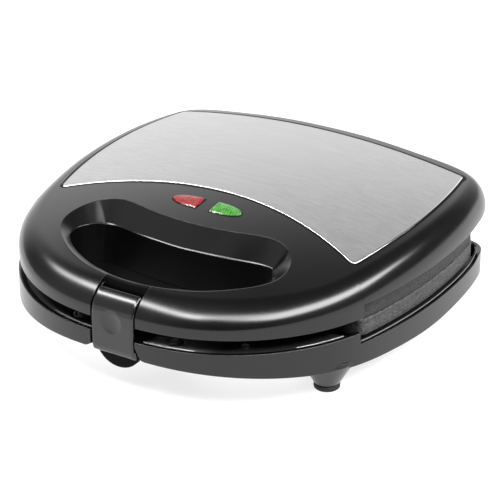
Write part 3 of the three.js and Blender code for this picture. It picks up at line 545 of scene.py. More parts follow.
M_SHELL = plastic("satin_black_shell", (0.0016, 0.0016, 0.0017), 0.2, grain=0.008, variation=0.02)
# Two duller, less reflective copies of the shell plastic dim a reflection on a band of the opening's flare: painted
# shade.
M_FLARE_SHADE = plastic("satin_black_flare_painted_shade", (0.004, 0.004, 0.0042), 0.24, grain=0.008, variation=0.02, ior=1.34)
M_FLARE_SHADE_DEEP = plastic("satin_black_flare_painted_shade_deep", (0.007, 0.007, 0.0072), 0.28, grain=0.008, variation=0.02, ior=1.2)
M_LATCH = plastic("satin_black_latch", (0.002, 0.002, 0.0022), 0.2, grain=0.008, variation=0.02, ior=1.6)
# Darker, less reflective copy of the black plastic for the walls inside the openings and the boss under the latch:
# partly a matt finish, partly painted shade.
M_OPENING_SHADE = plastic("matt_black_opening_painted_shade", (0.0009, 0.0009, 0.001), 0.5, grain=0.01, variation=0.02, ior=1.15)
M_COVER = plastic("textured_black_cover", (0.016, 0.016, 0.0165), 0.36, grain=0.08, grain_scale=1500, variation=0.08, ior=1.4)



def painted_sheen_patch(m, x0, x1, color):
    """Paler stretch of a material between two X positions: a painted reflection."""
    t = m.node_tree
    p = next(n for n in t.nodes if n.type == "BSDF_PRINCIPLED")
    old = p.inputs["Base Color"].links[0].from_socket
    co = t.nodes.new("ShaderNodeTexCoord")
    part = t.nodes.new("ShaderNodeSeparateXYZ")
    link(t, co.outputs["Object"], part.inputs[0])
    both = t.nodes.new("ShaderNodeMath")
    both.operation = "MULTIPLY"
    link(t, ramp(t, part.outputs["X"], x0 - 0.002, x0 + 0.002, 0, 1), both.inputs[0])
    link(t, ramp(t, part.outputs["X"], x1 - 0.016, x1 + 0.012, 1, 0), both.inputs[1])
    grain = ramp(t, noise(t, 260, 4, 0.6).outputs["Fac"], 0.2, 0.7, 0.6, 1)
    fac = t.nodes.new("ShaderNodeMath")
    fac.operation = "MULTIPLY"
    link(t, both.outputs[0], fac.inputs[0])
    link(t, grain, fac.inputs[1])
    link(t, mix_color(t, fac.outputs[0], old, color), p.inputs["Base Color"])


# A paler stretch of the cover plastic between X 20.5 and 46 mm: painted reflection.
painted_sheen_patch(M_COVER, 0.0205, 0.046, (0.2, 0.2, 0.202))
M_FRAME = plastic("heat_proof_black", (0.004, 0.004, 0.0043), 0.5, grain=0.08, grain_scale=1500)
M_CLIP = plastic("clip_black", (0.005, 0.005, 0.0053), 0.4, grain=0.04)
# Near-black faces and thin sheets for the shade in seams and recesses: painted shade.
M_SHADE_BLACK = plastic("recess_painted_shade", (0.0008, 0.0008, 0.0008), 0.5, grain=0.02, edge=0, ior=1.2)
M_STEEL = metal("brushed_steel_x", (0.49, 0.49, 0.494), 0.42, brush=(5, 800, 800), strength=0.03, edge=0, contrast=0.16)
M_STEEL_EDGE = metal("polished_steel_edge", (0.86, 0.86, 0.87), 0.12, strength=0.01, edge=0)
# The upper plate's coating is a darker copy of the lower plate's: painted shade under the lid's overhang.
M_PLATE = coating("dark_nonstick", (0.025, 0.025, 0.0256), 0.52)
M_PLATE_UP_SHADED = coating("nonstick_upper_painted_shade", (0.0065, 0.0065, 0.0068), 0.56)
M_HEATER = metal("heat_tinted_steel", (0.24, 0.215, 0.19), 0.45, strength=0.08)
M_ALU = metal("plain_aluminium", (0.74, 0.745, 0.75), 0.34, strength=0.05)
M_ZINC = metal("zinc_screw", (0.5, 0.5, 0.49), 0.3, strength=0.05)
M_PIN = metal("drawn_steel", (0.5, 0.5, 0.5), 0.25, brush=(40, 900, 900))
M_SPRING = metal("spring_wire", (0.42, 0.42, 0.43), 0.3)
M_RUBBER = rubber("black_rubber")
M_CREAM = plastic("cream_insulator", (0.66, 0.62, 0.53), 0.5, grain=0.05)
M_BOARD = plastic("phenolic_board", (0.46, 0.33, 0.14), 0.55, grain=0.05)
M_RED = lens("red_lens", (0.155, 0.012, 0.013), (0.16, 0.016, 0.016))
M_GREEN = lens("green_lens", (0.03, 0.145, 0.016), (0.04, 0.16, 0.03))
M_BEAD = metal("satin_bead", (0.42, 0.42, 0.43), 0.3, strength=0.02, edge=0)
# Pale plastic on the window lip bead for the bright line along it: painted highlight.
M_LIP_GLINT = plastic("pale_lip_painted_highlight", (0.16, 0.16, 0.162), 0.4, grain=0.04, edge=0)
M_GLASS = plastic("neon_glass", (0.75, 0.5, 0.35), 0.12, grain=0.01)

SLOTS = {
    "black_plastic": M_SHELL, "latch_plastic": M_LATCH, "clip_plastic": M_CLIP, "cover_plastic": M_COVER,
    "frame_plastic": M_FRAME, "trim_steel": M_STEEL, "plate_coating": M_PLATE, "heater_metal": M_HEATER,
    "reflector_metal": M_ALU, "foot_rubber": M_RUBBER, "gland_rubber": M_RUBBER, "screw_steel": M_ZINC,
    "pin_steel": M_PIN, "spring_steel": M_SPRING, "terminal_plastic": M_CREAM, "thermostat_body": M_CREAM,
    "fuse_metal": M_ALU, "lens_red": M_RED, "lens_green": M_GREEN, "neon_glass": M_GLASS, "board": M_BOARD,
}
for sub in frame["record"]["subparts"]:
    ob = nodes[sub["node"]]
    if not ob.data.materials:
        ob.data.materials.append(None)
    for i in range(len(ob.data.materials)):
        ob.data.materials[i] = SLOTS[sub["material_slot"]]

# ------------------------------------------------------------------ lid shell
LID_WINDOW_Y, BASE_WINDOW_Y = -47.0, -50.0
NOTCH_X = 14.8


def columns(curve, extra, count):
    """Even arc shares plus extra ones, mirrored in X, with no near repeats."""
    half = list(np.linspace(0, 0.5, count // 2 + 1))
    fixed = sorted(extra)
    half = [s for s in half if all(abs(s - e) > 0.0009 for e in fixed)] + fixed
    half = sorted(half)
    s = half + [1 - v for v in half[::-1] if 0 < v < 0.5]
    return np.array(s)


def share_at_x(curve, x):
    """Arc share on the front right where the curve crosses X = x."""
    s = np.linspace(0, 0.12, 4000)
    return float(np.interp(x, curve.at(s)[:, 0], s))


def share_at_y(curve, y):
    s = np.linspace(0.12, 0.4, 6000)
    return float(np.interp(y, curve.at(s)[:, 1], s))


def inward(curve, s):
    """Unit direction into the plan: along +Y near the latch, square to the outline elsewhere."""
    n = -curve.normal(s)
    p = curve.at(s)
    k = np.where(p[:, 1] < 0, 1 - ease((np.abs(p[:, 0]) - 18) / 26), 0)[:, None]
    d = n * (1 - k) + np.array([[0.0, 1.0]]) * k
    return d / np.linalg.norm(d, axis=1, keepdims=True)


e = 0.00006
sx = share_at_x(LID_C, NOTCH_X)
sw = share_at_y(LID_C, LID_WINDOW_Y)
s_gap = float(LID_C.nearest(8.6, 121.4))
S = columns(LID_C, [sx - 2 * e, sx + 2 * e, sx - 0.0012, sx + 0.0012, sw - 0.0009, sw - e, sw + e, sw + 0.0009, s_gap - e, s_gap + e], 520)
N = len(S)
P = LID_C.at(S)
IN = inward(LID_C, S)
RM = RIM_C.at(mapping(RIM_C, "lid")(S))
SL = SLOT_C.at(mapping(SLOT_C, "lid")(S))
k_front = np.where(P[:, 1] < 0, 1 - ease((np.abs(P[:, 0]) - 20) / 16), 0)
RM[:, 0] = RM[:, 0] * (1 - k_front) + P[:, 0] * k_front
SL[:, 0] = SL[:, 0] * (1 - k_front) + P[:, 0] * k_front
# Keeps the shifted points on their curves at the front.
rim_front, slot_front = RIM_C.p[np.abs(RIM_C.p[:, 1] + 100) < 12], SLOT_C.p[np.abs(SLOT_C.p[:, 1] + 100) < 12]
for arr, ref in ((RM, rim_front), (SL, slot_front)):
    o = np.argsort(ref[:, 0])
    y = np.interp(arr[:, 0], ref[o, 0], ref[o, 1])
    arr[:, 1] = np.where(k_front > 0.02, y, arr[:, 1])

half = np.minimum(S, 1 - S)
notch = half < sx
window = (half > sw)
edge_z = np.where(window, 36.4, 28.61)


def inset(d):
    return P + IN * (np.asarray(d)[..., None] if np.ndim(d) else d)


def zring(xy, z):
    return np.column_stack([xy, np.broadcast_to(z, (len(xy),))])


WALL = 2.6
W = rim_width(P[:, 1])
T = np.maximum(wall_top(P[:, 1]), edge_z + 0.6)
outer = []  # rings from the lower outer edge to the rim
f = 0.55
for a in (0, 22.5, 45, 67.5, 90):
    a = math.radians(a)
    outer.append(zring(inset(np.full(N, f * (1 - math.sin(a)))), edge_z + f * (1 - math.cos(a))))
for k in (0.2, 0.5, 0.8, 1.0):
    outer.append(zring(inset(np.zeros(N)), edge_z + f + (T - edge_z - f) * k))
STEPS = 18
for k in range(1, STEPS + 1):
    a = 0.5 * math.pi * k / STEPS
    xy = inset(W * (1 - math.cos(a)))
    outer.append(zring(xy, T + (dome(xy[:, 0], xy[:, 1]) - T) * math.sin(a)))
Q = inset(W)
LAND = 22
for k in range(1, LAND + 1):
    t = (k / LAND) ** 0.9
    xy = Q + (RM - Q) * t
    if k == LAND:
        d = (Q - RM) / (np.linalg.norm(Q - RM, axis=1, keepdims=True) + 1e-9)
        edge_w = (0.14 + 0.46 * ease((-60 - RM[:, 1]) / 12))[:, None]
        xy = RM + d * edge_w
    outer.append(zring(xy, dome(xy[:, 0], xy[:, 1])))
# Rim edge, flare, ledge edge and slot wall.
LEDGE, SLOT_LOW = 46.8, 21.9
zr = dome(RM[:, 0], RM[:, 1])
run = np.linalg.norm(RM - SL, axis=1)
away = (RM - SL) / run[:, None]
depth = np.maximum(0.6, zr - LEDGE)
# The ledge drops and steps back towards the opening's two rear corners, which keeps the flare steep there.
ax_ = np.abs(SL[:, 0])
fall = (0.25 + 1.75 * ease((ax_ - 22) / 32)) * (1 - ease((ax_ - 57) / 3.6)) * ease((SL[:, 1] + 82) / 10)
back = np.column_stack([np.zeros(N), 1.77 * fall])


def wall_at(z):
    return SL + back * np.clip((z - SLOT_LOW) / (LEDGE - SLOT_LOW), 0, 1)


shelf_w = np.minimum(0.72, 0.3 * run) * np.clip((depth - 0.5) / 4, 0.25, 1)
shelf_h = 0.8 * shelf_w
rim3 = zring(RM, zr)
slot3 = zring(wall_at(LEDGE), LEDGE - fall)
shelf3 = np.column_stack([wall_at(LEDGE) + away * shelf_w[:, None], LEDGE - fall + shelf_h])
flen = np.linalg.norm(rim3 - shelf3, axis=1)
u3 = (shelf3 - rim3) / flen[:, None]
d_in = (Q - RM) / (np.linalg.norm(Q - RM, axis=1, keepdims=True) + 1e-9)
q_in = RM + d_in * edge_w
start3 = zring(q_in, dome(q_in[:, 0], q_in[:, 1]))
end3 = rim3 + u3 * np.minimum(edge_w[:, 0], flen * 0.22)[:, None]
for t in (0.17, 0.34, 0.5, 0.66, 0.83, 1.0):
    outer.append((1 - t) ** 2 * start3 + 2 * t * (1 - t) * rim3 + t * t * end3)
# A steep straight flare, a small hollow at its foot, a short shelf and a rounded lip into the wall.
hollow0 = shelf3 - u3 * np.minimum(0.14, flen * 0.2)[:, None]
hollow1 = shelf3 + (slot3 - shelf3) * 0.18
lip0 = shelf3 + (slot3 - shelf3) * 0.78
FL, FLARE_RING = 7, len(outer) - 1
for k in range(1, FL + 1):
    outer.append(end3 + (hollow0 - end3) * (k / FL))
for t in (0.25, 0.5, 0.75, 1.0):
    outer.append((1 - t) ** 2 * hollow0 + 2 * t * (1 - t) * shelf3 + t * t * hollow1)
outer.append(lip0)
down = np.array([0, 0, -1.0])
lip1 = slot3 + down * 0.16
for t in (0.2, 0.4, 0.6, 0.8, 1.0):
    outer.append((1 - t) ** 2 * lip0 + 2 * t * (1 - t) * slot3 + t * t * lip1)
WALL_RING = len(outer) - 1
for z in (3, 6, 10, 15, 20, LEDGE - SLOT_LOW - 0.5):
    outer.append(zring(wall_at(LEDGE - z), LEDGE - fall * (1 - z / 25) - z))
# Slot foot, then the hidden inner side back to the outer edge.
c0 = np.array([0, -78.0])
sn = SLOT_C.normal(mapping(SLOT_C, "lid")(S))
WALL_END = len(outer)
for d, z in ((0.15, SLOT_LOW + 0.15), (0.5, SLOT_LOW), (2.0, SLOT_LOW), (2.4, SLOT_LOW + 0.4), (2.4, 30), (2.4, 40)):
    outer.append(zring(wall_at(z) + sn * d, np.full(N, z)))
inner_top = []
for k in range(0, 9):
    t = k / 8
    a = wall_at(LEDGE) + sn * 2.4
    b = inset(np.full(N, WALL) + W * 0.75)
    xy = a + (b - a) * t
    z = dome(xy[:, 0], xy[:, 1]) - 2.6
    z = np.minimum(z, 44.3 - fall + 22 * np.clip(t * 2.2, 0, 1)) if k < 3 else z
    outer.append(zring(xy, z))
for k in range(5, -1, -1):
    a = 0.5 * math.pi * k / 6
    xy = inset(WALL + W * 0.75 * (1 - math.cos(a)))
    z = (T - 1.5) + (dome(xy[:, 0], xy[:, 1]) - 2.6 - T + 1.5) * math.sin(a)
    outer.append(zring(xy, np.maximum(z, edge_z + 0.5 + 0.25 * k)))
outer.append(zring(inset(np.full(N, WALL)), edge_z + 0.4))
outer.append(zring(inset(np.full(N, WALL - 0.15)), edge_z + 0.1))
outer.append(zring(inset(np.full(N, WALL - 0.5)), edge_z))
G = np.array(outer)  # rings x columns x 3
# Latch recess: the notch columns follow a scooped pocket instead of the rounded bar.
pocket = rounded_profile(
    [(-117.2, 23.5), (-113.0, 23.5), (-113.0, 38.5), (-112.1, 43.6), (-110.6, 46.8), (-109.9, 47.35)],
    [0, 0.3, 0.5, 6, 2.5, 0], n=5)
seg = np.concatenate([[0], np.cumsum(np.linalg.norm(np.diff(pocket, axis=0), axis=1))])
seg /= seg[-1]
first_rim = 9 + STEPS + LAND + 6  # the pocket runs up to the end of the rim edge
for j in np.where(notch)[0]:
    m = first_rim
    t = np.linspace(0, 1, m)
    py, pz = np.interp(t, seg, pocket[:, 0]), np.interp(t, seg, pocket[:, 1])
    shift = RM[j, 1] + 109.4
    lift = zr[j] - float(dome(0, -109.4))
    G[:m, j, 0] = P[j, 0]
    G[:m, j, 1] = py + shift * t
    G[:m, j, 2] = pz + lift * t
    tail = len(outer) - 3
    for k, (y, z) in ((len(outer) - 3, (-117.2 - 1.4, 24.5)), (len(outer) - 2, (-117.6, 23.9)), (len(outer) - 1, (-117.4, 23.5))):
        G[k, j] = (P[j, 0], y, z)
    for k in range(WALL_END, len(outer) - 3):
        if G[k, j, 1] < -110.9:
            G[k, j] = (P[j, 0], -111.4 if G[k, j, 2] < 41 else -110.9, min(G[k, j, 2], 43.4))
# Notch in the back edge that clears the cord gland: these columns end higher up.
gap_cols = np.where((np.abs(P[:, 0]) < 8.6) & (P[:, 1] > 60))[0]
for j in gap_cols:
    for part_, z_end in ((range(0, 9 + STEPS + LAND), 47.0), (range(len(outer) - 18, len(outer)), 47.0)):
        ks = [k for k in part_ if G[k, j, 2] < z_end]
        above = [k for k in part_ if G[k, j, 2] >= z_end]
        if ks and above:
            near_k = min(above, key=lambda k: G[k, j, 2])
            for k in ks:
                G[k, j] = (G[k, j, 0], G[near_k, j, 1], G[near_k, j, 2])
M_ = len(outer)
lid_shell = make(
    "lid_shell", G.reshape(-1, 3), grid_faces(M_, N, close_rows=True), "lid", M_SHELL,
    replaces=("upper_housing",), slot="black_plastic", sharp=38,
)
lid_shell.data.materials.append(M_OPENING_SHADE)
lid_shell.data.materials.append(M_FLARE_SHADE)
lid_shell.data.materials.append(M_FLARE_SHADE_DEEP)
# The latch pocket and the slot wall take the darker, less reflective copy, painted shade inside the opening; a band of
# the flare at the opening's rear left corner takes the duller copies, painted shade that dims a reflection there.
for i, f_ in enumerate(lid_shell.data.polygons):
    k = i // N
    if k < first_rim and notch[i % N] and notch[(i + 1) % N]:
        f_.material_index = 1
    if WALL_RING <= k < WALL_END:
        f_.material_index = 1
    elif FLARE_RING <= k < WALL_RING and RM[i % N, 1] > -75 and SL[i % N, 0] < 0:
        x = SL[i % N, 0]
        if -61.6 < x < -56.4:
            f_.material_index = 3
        elif -62.6 < x < -55.4:
            f_.material_index = 2

# ------------------------------------------------------------------ base shell
sxb = share_at_x(BASE_C, NOTCH_X)
swb = share_at_y(BASE_C, BASE_WINDOW_Y)
SB = columns(BASE_C, [sxb - 2 * e, sxb + 2 * e, sxb + 0.003, sxb + 0.005, swb - 0.0009, swb - e, swb + e, swb + 0.0009], 520)
NB = len(SB)
PB = BASE_C.at(SB)
INB = inward(BASE_C, SB)
SLB = SLOT_C.at(mapping(SLOT_C, "base")(SB))
kf = np.where(PB[:, 1] < 0, 1 - ease((np.abs(PB[:, 0]) - 20) / 16), 0)
SLB[:, 0] = SLB[:, 0] * (1 - kf) + PB[:, 0] * kf
o = np.argsort(slot_front[:, 0])
SLB[:, 1] = np.where(kf > 0.02, np.interp(SLB[:, 0], slot_front[o, 0], slot_front[o, 1]), SLB[:, 1])
snb = SLOT_C.normal(mapping(SLOT_C, "base")(SB))
hb = np.minimum(SB, 1 - SB)
notch_b = hb < sxb
open_b = hb > swb
top = np.where(open_b, 13.55 + 1.4 * ease((PB[:, 1] - 72) / 14), 20.62)
lip = np.where(open_b, 13.0, 19.7)


def inb(d):
    return PB + INB * (np.asarray(d)[..., None] if np.ndim(d) else d)


low = base_edge(PB[:, 0], PB[:, 1])
# The wall's lower corner is cut back beside the latch recess.
cut_t = np.clip(1 - (hb - sxb) / 0.0062, 0, 1) * (~notch_b)
ringsB = []
SL_LOW = base_edge(SLB[:, 0], SLB[:, 1])
# slot wall, from its top down to the underside
for d, z in ((2.0, 21.69), (0.5, 21.69), (0.12, 21.6)):
    ringsB.append(zring(SLB + snb * d, np.full(NB, z)))
for t in (0.03, 0.3, 0.65, 0.96):
    ringsB.append(zring(SLB, 21.5 + (SL_LOW + 0.1 - 21.5) * t))
ringsB.append(zring(SLB + snb * 0.5, SL_LOW))
for t in (0.06, 0.2, 0.35, 0.5, 0.65, 0.8, 0.9, 0.96):
    xy = SLB + snb * 0.5 * (1 - t) + (inb(1.0) - SLB) * t
    ringsB.append(zring(xy, base_edge(xy[:, 0], xy[:, 1])))
FB = 0.7
for a in (0, 22.5, 45, 67.5, 90):
    a = math.radians(a)
    ringsB.append(zring(inb(np.full(NB, FB * (1 - math.sin(a)))), low + FB * (1 - math.cos(a))))
for t in (0.25, 0.5, 0.75):
    ringsB.append(zring(inb(np.zeros(NB)), low + FB + (top - 0.5 - low - FB) * t))
for a in (0, 30, 60, 90):
    a = math.radians(a)
    ringsB.append(zring(inb(np.full(NB, 0.5 * (1 - math.cos(a)))), top - 0.5 + 0.5 * math.sin(a)))
w_ = np.where(open_b, ease((88 - PB[:, 1]) / 8), 0.0)
for d, drop, plain in ((0.85, 1.0, 0.02), (1.55, 1.0, 0.08), (1.85, 0.1, 0.1), (2.05, -0.12, 0.12), (2.4, -0.12, 0.15), (2.6, 0.1, 0.2), (2.85, 1.3, 0.3), (3.35, 1.3, 0.85)):
    ringsB.append(zring(inb(np.full(NB, d)), top - drop * w_ - plain * (1 - w_)))
ringsB.append(zring(inb(np.full(NB, 3.6)), np.where(open_b, top - 1.3 * w_ - 0.5 * (1 - w_), lip)))
ringsB.append(zring(inb(np.full(NB, 3.85)), np.where(open_b, top - 1.5 * w_ - 0.8 * (1 - w_), lip - 0.25)))
lip = np.where(open_b, top - 1.5 * w_ - 0.8 * (1 - w_), lip - 0.25)
for z in (0.8, 1.6):
    ringsB.append(zring(inb(np.full(NB, 3.85)), np.maximum(lip - z * 3, low + 1.9)))
ringsB.append(zring(inb(np.full(NB, 3.85)), low + 1.8))
for t in (0.12, 0.35, 0.6, 0.85):
    xy = inb(3.85) + (SLB + snb * 2.4 - inb(3.85)) * t
    ringsB.append(zring(xy, base_edge(xy[:, 0], xy[:, 1]) + 1.7))
ringsB.append(zring(SLB + snb * 2.4, SL_LOW + 1.7))
ringsB.append(zring(SLB + snb * 2.4, np.full(NB, 21.3)))
GB = np.array(ringsB)
# Latch recess in the wall: the outer face steps back to a plane behind the latch.
first_wall = 3 + 4 + 1 + 8
for j in np.where(notch_b)[0]:
    for k in range(first_wall - 3, len(ringsB) - 6):
        if GB[k, j, 1] < -117.6:
            GB[k, j, 1] = -117.6
        if k >= first_wall + 8 and k < len(ringsB) - 6:
            GB[k, j, 1] = max(GB[k, j, 1], -117.6 + 0.3 * (k - first_wall - 8))
        GB[k, j, 0] = PB[j, 0]
for j in range(NB):
    if cut_t[j] > 0:
        lift_c = 8.5 * cut_t[j] ** 1.6 * (1.0 if PB[j, 0] > 0 else 0.3)
        for k in range(first_wall - 1, first_wall + 8):
            GB[k, j, 2] = max(GB[k, j, 2], low[j] + lift_c * (0.9 + 0.02 * (k - first_wall)))
        for k, most in ((first_wall - 2, 2.4), (first_wall - 3, 2.2), (first_wall - 4, 1.6), (first_wall - 5, 0.8)):
            GB[k, j, 2] += min(lift_c, most)
parts = [(GB.reshape(-1, 3), grid_faces(len(ringsB), NB, close_rows=True, flip=False))]
# Belly below the heater.
belly = []
for d, z in ((5.5, -6.0), (4.6, -5.96), (3.0, -5.5), (1.6, -4.5), (0.7, -3.1), (0.2, -1.6), (0.0, 0.0), (0.0, 7.5), (SKIN := 2.4, 7.5), (2.4, 1.0), (6.0, -3.0), (7.0, -3.6)):
    r = rounded_rect(-110 + d, 110 - d, -47 + d, 98 - d, max(4, 16 - d), 10)
    belly.append(zring(r, z))
n_r = len(belly[0])
bf = grid_faces(len(belly), n_r)
belly_v = list(np.vstack(belly))
# Floor of the belly: an outer and an inner face with the vent slots, and the slots' walls.
slots_xy = [rounded_rect(-22, 22, 8 + 9 * i, 11 + 9 * i, 1.45, 5) for i in range(5)]
for ring_start, z, up in ((0, -6.0, False), ((len(belly) - 1) * n_r, -3.6, True)):
    loops = [[Vector(belly_v[ring_start + i]) for i in range(n_r)]]
    index = [ring_start + i for i in range(n_r)]
    for q in slots_xy:
        index += list(range(len(belly_v), len(belly_v) + len(q)))
        belly_v += [np.array([x, y, z]) for x, y in q]
        loops.append([Vector((x, y, z)) for x, y in q])
    for tri in tessellate_polygon(loops):
        ids = [index[i] for i in tri]
        (ax_, ay_), (bx_, by_), (cx_, cy_) = [belly_v[i][:2] for i in ids]
        ccw = (bx_ - ax_) * (cy_ - ay_) - (by_ - ay_) * (cx_ - ax_) > 0
        bf.append(tuple(ids if ccw == up else ids[::-1]))
n_s = len(slots_xy[0])
low_0, up_0 = len(belly) * n_r, len(belly) * n_r + 5 * n_s
for i in range(5):
    for j in range(n_s):
        k = (j + 1) % n_s
        bf.append((low_0 + i * n_s + j, low_0 + i * n_s + k, up_0 + i * n_s + k, up_0 + i * n_s + j)[::-1])
belly = [np.array(belly_v)]
parts.append((np.vstack(belly), bf))
base_shell = make("base_shell", *combine(parts), "base", M_SHELL, replaces=("lower_housing",), slot="black_plastic", sharp=38)
base_shell.data.materials.append(M_OPENING_SHADE)
# The slot wall takes the darker, less reflective copy of the black plastic: painted shade inside the opening.
for i, f_ in enumerate(base_shell.data.polygons):
    if i < 7 * NB:
        f_.material_index = 1

# Foot cones grow out of the wall and end in a short collar above the pad.
for name, (fx, fy), z_top, r_top in (("front", (96.2, -54.7), 3.0, 16.4), ("rear", (88, 62), -3.0, 12.8)):
    for s, side in ((1, "right"), (-1, "left")):
        prof = [(6.7, -12.6), (7.25, -12.6), (7.55, -12.35), (7.75, -11.9)]
        for t in np.linspace(0.1, 1, 9):
            prof.append((7.75 + (r_top - 7.75) * t, -11.9 + (z_top + 11.9) * t))
        prof.append((r_top - 0.6, z_top + 2.4))
        v, f_ = turned(prof, s * fx, fy, 56)
        make(f"foot_cone_{name}_{side}", v, f_, "base", M_SHELL, slot="black_plastic", sharp=40)
        pad = [(5.6, -15.7), (6.2, -16.0), (7.0, -15.98), (7.4, -15.6), (7.55, -15.0), (7.55, -13.6), (7.35, -13.1), (6.9, -12.9), (5.5, -12.9)]
        v, f_ = turned(pad, s * fx, fy, 56)
        make(f"foot_pad_{name}_{side}_moulded", v, f_, "base", M_RUBBER, replaces=(f"foot_pad_{name}_{side}",), slot="foot_rubber")

# ------------------------------------------------------------------ hinge towers and ears
def shrink(profile, d):
    """A closed 2-D outline moved inward by d along its normals."""
    t = np.roll(profile, -1, 0) - np.roll(profile, 1, 0)
    t = t / (np.linalg.norm(t, axis=1, keepdims=True) + 1e-9)
    area = 0.5 * np.sum(profile[:, 0] * np.roll(profile[:, 1], -1) - np.roll(profile[:, 0], -1) * profile[:, 1])
    n = np.stack([-t[:, 1], t[:, 0]], 1) * (1 if area > 0 else -1)
    return profile + n * d


def slab(profile, x0, x1, r=0.5):
    """An upright slab across X with rounded long edges. The profile is in (y, z), anticlockwise."""
    secs = []
    for x, d in ((x0, r), (x0 + 0.15 * r, 0.5 * r), (x0 + 0.5 * r, 0.15 * r), (x0 + r, 0), (x1 - r, 0), (x1 - 0.5 * r, 0.15 * r), (x1 - 0.15 * r, 0.5 * r), (x1, r)):
        q = shrink(profile, d)
        secs.append(np.column_stack([np.full(len(q), x), q]))
    m = len(profile)
    f_ = grid_faces(len(secs), m, flip=True)
    f_.append(tuple(range(m))[::-1])
    f_.append(tuple(range((len(secs) - 1) * m, len(secs) * m)))
    return np.vstack(secs), f_


HY, HZ, HR = 98.0, 27.0, 6.5
tower = [(91.6, 2.4), (102.0, 2.4), (102.0, 21.2)]
tower += [(HY + HR * math.cos(math.radians(a)), HZ + HR * math.sin(math.radians(a))) for a in range(-50, 181, 10)]
tower += [(91.6, 26.0)]
ear = [(HY + HR * math.cos(math.radians(a)), HZ + HR * math.sin(math.radians(a))) for a in range(180, 361, 10)]
ear += [(104.5, 30.0), (104.9, 38.0), (106.0, 47.0), (91.0, 50.0), (91.5, 34.0)]
for s, side in ((1, "right"), (-1, "left")):
    x0, x1 = sorted((s * 58, s * 66))
    v, f_ = slab(np.array(tower), x0, x1, 0.6)
    foot_v, foot_f = slab(np.array([(88.6, 2.2), (102.0, 2.2), (102.0, 9.0), (91.8, 9.0), (90.2, 6.2), (89.2, 4.2)]), x0 - 2.2, x1 + 2.2, 0.5)
    make(f"hinge_tower_{side}", *combine([(v, f_), (foot_v, foot_f)]), "base", M_SHELL, slot="black_plastic", sharp=40)
    ears = []
    for a0, a1 in ((53.4, 57.6), (66.4, 70.6)):
        b0, b1 = sorted((s * a0, s * a1))
        ears.append(slab(np.array(ear), b0, b1, 0.5))
    make(f"hinge_ears_{side}", *combine(ears), "lid", M_SHELL, slot="black_plastic", sharp=40)

# Catch lip that the latch closes over.
lip_prof = rounded_profile([(-121.9, 11.7), (-117.4, 11.7), (-117.4, 13.4), (-121.9, 13.3)], 0.45, n=3, closed=True)
v, f_ = slab(np.array(lip_prof), -9, 9, 0.4)
make("latch_catch_lip", v, f_, "base", M_SHELL, slot="black_plastic", sharp=40)

# ------------------------------------------------------------------ cooking plates
def plate_outline(inset_):
    """Right side follows the casing, front and rear are straight, corners rounded."""
    c = LID_C.at(np.linspace(0.1, 0.45, 900)) - LID_C.normal(np.linspace(0.1, 0.45, 900)) * inset_
    y0, y1 = -44.0, 83.0
    c = c[(c[:, 1] > y0) & (c[:, 1] < y1)]
    c = c[np.argsort(c[:, 1])]
    xf, xr = c[0, 0], c[-1, 0]
    low_c = fillet((xf - 30, y0), (xf, y0), c[60] if len(c) > 60 else c[-1], 5, 10)
    high_c = fillet(c[-60] if len(c) > 60 else c[0], (xr, y1), (xr - 30, y1), 4, 10)
    mid = [q for q in c if low_c[-1][1] + 0.5 < q[1] < high_c[0][1] - 0.5][::6]
    right = [(8.66, y0), (30, y0), (60, y0)] + list(low_c) + mid + list(high_c) + [(60, y1), (30, y1)]
    right = [(8.54, y0)] + right
    ring = right + [(0, y1)] + [(-x, y) for x, y in right[::-1]] + [(0, y0)]
    return np.array(ring)


def box_distance(x, y, x0, x1, y0, y1, r):
    qx = np.abs(x - (x0 + x1) / 2) - (x1 - x0) / 2 + r
    qy = np.abs(y - (y0 + y1) / 2) - (y1 - y0) / 2 + r
    return np.hypot(np.maximum(qx, 0), np.maximum(qy, 0)) + np.minimum(np.maximum(qx, qy), 0) - r


